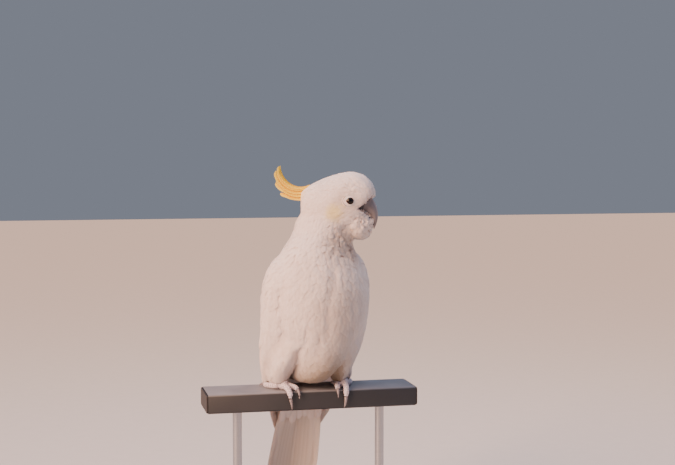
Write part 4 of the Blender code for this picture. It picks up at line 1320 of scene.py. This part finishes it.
def makeRailMaterial():
    # Powder-coated aluminium handrail, sprayed and baked: fine orange peel, chalked and dusty on top, the top
    # also painted paler for the light that falls on it
    made, tree = newMaterial("powderCoatedAluminium")
    coords = addNode(tree, "TexCoord")
    peel = addNode(tree, "TexNoise", Vector=(coords, "Object"), Scale=620.0, Detail=2.0)
    cloud = addNode(tree, "TexNoise", Vector=(coords, "Object"), Scale=26.0, Detail=6.0)
    facing = addNode(tree, "NewGeometry")
    axis = addNode(tree, "SeparateXYZ", Vector=(facing, "Normal"))
    # the up-facing top gets real dust and also painted light from above
    topDustAndLight = addNode(tree, "MapRange", Value=(axis, "Z"), From_Min=0.3, From_Max=0.95)
    patchy = addNode(tree, "MapRange", Value=(cloud, 0), To_Min=0.35, To_Max=1.05)
    dustAndShading = addNode(tree, "Math", {"operation": "MULTIPLY"}, i0=(topDustAndLight, 0), i1=(patchy, 0))
    coatBase = addNode(tree, "Mix", mixColours, i0=(cloud, 0), i6=linear("#26282c"), i7=linear("#323438"))
    colour = addNode(tree, "Mix", mixColours, i0=(dustAndShading, 0), i6=(coatBase, 2), i7=linear("#95979e"))
    rough = addNode(tree, "MapRange", Value=(cloud, 0), To_Min=0.42, To_Max=0.62)
    bump = addNode(tree, "Bump", Height=(peel, 0), Strength=0.12, Distance=0.2 * mm)
    shaded(tree, Base_Color=(colour, 2), Roughness=(rough, 0), IOR=1.5, Normal=(bump, "Normal"))
    return made


def makeRodMaterial():
    # Stainless steel rod, turned and brushed round: soft bands of light across it
    made, tree = newMaterial("brushedStainlessSteel")
    coords = addNode(tree, "TexCoord")
    turned = addNode(tree, "Mapping", Vector=(coords, "Object"), Scale=(30, 30, 2600))
    lines = addNode(tree, "TexNoise", Vector=(turned, 0), Scale=1.0, Detail=3.0)
    colour = addNode(tree, "Mix", mixColours, i0=(lines, 0), i6=linear("#a6a6aa"), i7=linear("#c9c9cc"))
    rough = addNode(tree, "MapRange", Value=(lines, 0), To_Min=0.26, To_Max=0.4)
    bump = addNode(tree, "Bump", Height=(lines, 0), Strength=0.15, Distance=0.05 * mm)
    shaded(tree, Base_Color=(colour, 2), Metallic=1.0, Roughness=(rough, 0), Normal=(bump, "Normal"))
    return made


def makeBaseMaterial():
    # Walnut board, sanded and oiled: long dark grain with short pores, satin
    made, tree = newMaterial("oiledWalnut")
    coords = addNode(tree, "TexCoord")
    stretched = addNode(tree, "Mapping", Vector=(coords, "Object"), Scale=(6, 70, 40))
    rings = addNode(tree, "TexNoise", Vector=(stretched, 0), Scale=1.0, Detail=5.0, Distortion=0.6)
    poreMap = addNode(tree, "Mapping", Vector=(coords, "Object"), Scale=(90, 1500, 900))
    pores = addNode(tree, "TexNoise", Vector=(poreMap, 0), Scale=1.0, Detail=2.0)
    wood = addNode(tree, "Mix", mixColours, i0=(rings, 0), i6=linear("#3a2619"), i7=linear("#7d5a3d"))
    poreDark = addNode(tree, "MapRange", Value=(pores, 0), From_Min=0.6, From_Max=0.72)
    colour = addNode(tree, "Mix", mixColours, i0=(poreDark, 0), i6=(wood, 2), i7=linear("#2a1a11"))
    rough = addNode(tree, "MapRange", Value=(rings, 0), To_Min=0.38, To_Max=0.52)
    bump = addNode(tree, "Bump", Height=(pores, 0), Strength=0.2, Distance=0.15 * mm)
    shaded(tree, Base_Color=(colour, 2), Roughness=(rough, 0), IOR=1.5, Normal=(bump, "Normal"))
    return made


def makePlugMaterial():
    # Push-in end plug, injection-moulded polypropylene: matt black-grey with a faint grain
    made, tree = newMaterial("mouldedPolypropylene")
    coords = addNode(tree, "TexCoord")
    grain = addNode(tree, "TexNoise", Vector=(coords, "Object"), Scale=1500.0, Detail=2.0)
    tone = addNode(tree, "Mix", mixColours, i0=(grain, 0), i6=linear("#262324"), i7=linear("#343031"))
    bump = addNode(tree, "Bump", Height=(grain, 0), Strength=0.3, Distance=0.1 * mm)
    shaded(tree, Base_Color=(tone, 2), Roughness=0.55, IOR=1.49, Normal=(bump, "Normal"))
    return made


rail = {
    "corner": 3.0, "arc": 8, "plug": 2.2, "cut": 0.3,
    # the plug's rings: how far in from its outer end, and how far inside the rail's outline
    "plugRings": [(2.1, 0.8), (0.9, 0.8), (0.35, 0.95), (0, 1.7)],
}


def railSection(height, depth, inset):
    # A rectangle with rounded corners, each corner a quarter turn, as points (y, z) round its middle
    turn, corner = np.linspace(0, np.pi / 2, rail["arc"]), rail["corner"]
    starts = np.arange(4) * np.pi / 2
    quarter = [np.stack([np.cos(turn + start), np.sin(turn + start)], 1) * corner for start in starts]
    reach = (depth / 2 - corner - inset, height / 2 - corner - inset)
    place = np.array([(1, 1), (-1, 1), (-1, -1), (1, -1)]) * reach
    return np.concatenate([quarter[q] + place[q] for q in range(4)])


def makeRail():
    # The rounded section carried along x, drawn in a little at each cut end, and a plug in each end
    low, high = [np.array(c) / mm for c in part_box("perch_rail")]
    middle, size = (low + high) / 2, high - low
    coated, moulded = makeRailMaterial(), makePlugMaterial()
    far, cut = size[0] / 2, rail["cut"]
    end = far - rail["plug"]
    runs = {"rail": [(-end, cut), (cut - end, 0), (end - cut, 0), (end, cut)]}
    for name, sign in (("plug_left", -1), ("plug_right", 1)):
        runs[name] = [(sign * (far - inward), inset) for inward, inset in rail["plugRings"]]
    for name, run in runs.items():
        rings = [np.insert(railSection(size[2], size[1], inset), 0, x, axis=1) for x, inset in run]
        mesh, _ = gridMesh(name, (np.array(rings) + middle) * mm, coated if name == "rail" else moulded)
        sidesOf = np.empty(len(mesh.polygons), np.int32)
        mesh.polygons.foreach_get("loop_total", sidesOf)
        markSharp(mesh, "sharp_face", "FACE", sidesOf == 3)     # the flat ends
        addPiece(name, mesh, ("perch_rail",) if name == "rail" else ())


# a turned collar at each end of a rod: radius and height up its profile, and its gap to the rod's end
collar = {"profile": [(6.02, 0), (10.2, 0), (10.6, 0.5), (10.6, 2.6), (10.0, 3.4), (7.2, 4.0), (6.02, 4.2)],
          "gap": 0.3, "sides": 64}


def makeStand():
    steel = makeRodMaterial()
    turn = np.arange(collar["sides"]) / collar["sides"] * math.tau
    for side in ("left", "right"):
        nodes[f"stand_rod_{side}"].data.materials[0] = steel
        low, high = [np.array(c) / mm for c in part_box(f"stand_rod_{side}")]
        x, y, _ = (low + high) / 2
        for end, z, way in (("foot", low[2] - collar["gap"], 1), ("head", high[2] + collar["gap"], -1)):
            rows = [np.stack([x + r * np.cos(turn), y + r * np.sin(turn), np.full(len(turn), z + way * h)], 1)
                    for r, h in collar["profile"]]
            mesh, _ = gridMesh(f"collar_{side}_{end}", np.array(rows) * mm, steel, poles=False)
            addPiece(f"collar_{side}_{end}", mesh)
    nodes["stand_base"].data.materials[0] = makeBaseMaterial()


makeRail()
makeStand()
print("perch and stand made")


# Light and floor

studio = {
    # the key light's size is an angle in degrees, the others' a width in metres
    "key": {"kind": "SUN", "from": (-1.7, -0.95, 1.25), "size": 42, "power": 8.0, "colour": "#ffcaa8"},
    "fill": {"kind": "AREA", "from": (1.7, -0.6, 0.8), "size": 1.4, "power": 2.6, "colour": "#c4d2ff"},
    "top": {"kind": "AREA", "from": (0.1, 0.1, 1.8), "size": 1.6, "power": 21, "colour": "#dadef6"},
    "aim": (0, 0, 0.34),
    "sky": {"colour": "#d3dbf0", "strength": 0.3},
    "paper": ("#dcd9d4", "#e2dfda"), "floorHalf": 8, "floorCells": 8,
}


def makePaper():
    # Seamless paper roll, matt: an even pale ground
    made, tree = newMaterial("seamlessPaper")
    coords = addNode(tree, "TexCoord")
    fleck = addNode(tree, "TexNoise", Vector=(coords, "Object"), Scale=40.0, Detail=3.0)
    tone = addNode(tree, "Mix", mixColours, i0=(fleck, 0),
                   i6=linear(studio["paper"][0]), i7=linear(studio["paper"][1]))
    shaded(tree, Base_Color=(tone, 2), Roughness=0.9)
    return made


def makeFloor():     # a flat square grid
    far, cells = studio["floorHalf"], studio["floorCells"]
    x, y = np.meshgrid(np.linspace(-far, far, cells + 1), np.linspace(-far, far, cells + 1))
    points = np.stack([x.ravel(), y.ravel(), np.zeros(x.size)], axis=1)
    i = (np.arange(cells)[:, None] * (cells + 1) + np.arange(cells)).ravel()
    quads = np.stack([i, i + 1, i + cells + 2, i + cells + 1], axis=1)
    mesh, _ = newMesh("floor", points, [quads], makePaper())
    floor = bpy.data.objects.new("floor", mesh)
    bpy.context.scene.collection.objects.link(floor)


def makeStudio():
    aim = Vector(studio["aim"])
    for name in ("key", "fill", "top"):
        plan = studio[name]
        made = bpy.data.lights.new(name, plan["kind"])
        if plan["kind"] == "SUN":
            made.angle = math.radians(plan["size"])
        else:
            made.shape = "DISK"
            made.size = plan["size"]
        made.energy = plan["power"]
        made.color = linear(plan["colour"])[:3]
        lamp = bpy.data.objects.new(name, made)
        bpy.context.scene.collection.objects.link(lamp)
        lamp.location = plan["from"]
        lamp.rotation_euler = (aim - Vector(plan["from"])).to_track_quat("-Z", "Y").to_euler()
    world = bpy.data.worlds.new("studio")
    bpy.context.scene.world = world
    world.use_nodes = True
    tree = world.node_tree
    tree.nodes.clear()
    sky = addNode(tree, "Background", Color=linear(studio["sky"]["colour"]),
                  Strength=studio["sky"]["strength"])
    addNode(tree, "OutputWorld", Surface=(sky, "Background"))


makeStudio()
makeFloor()
print("studio lit")
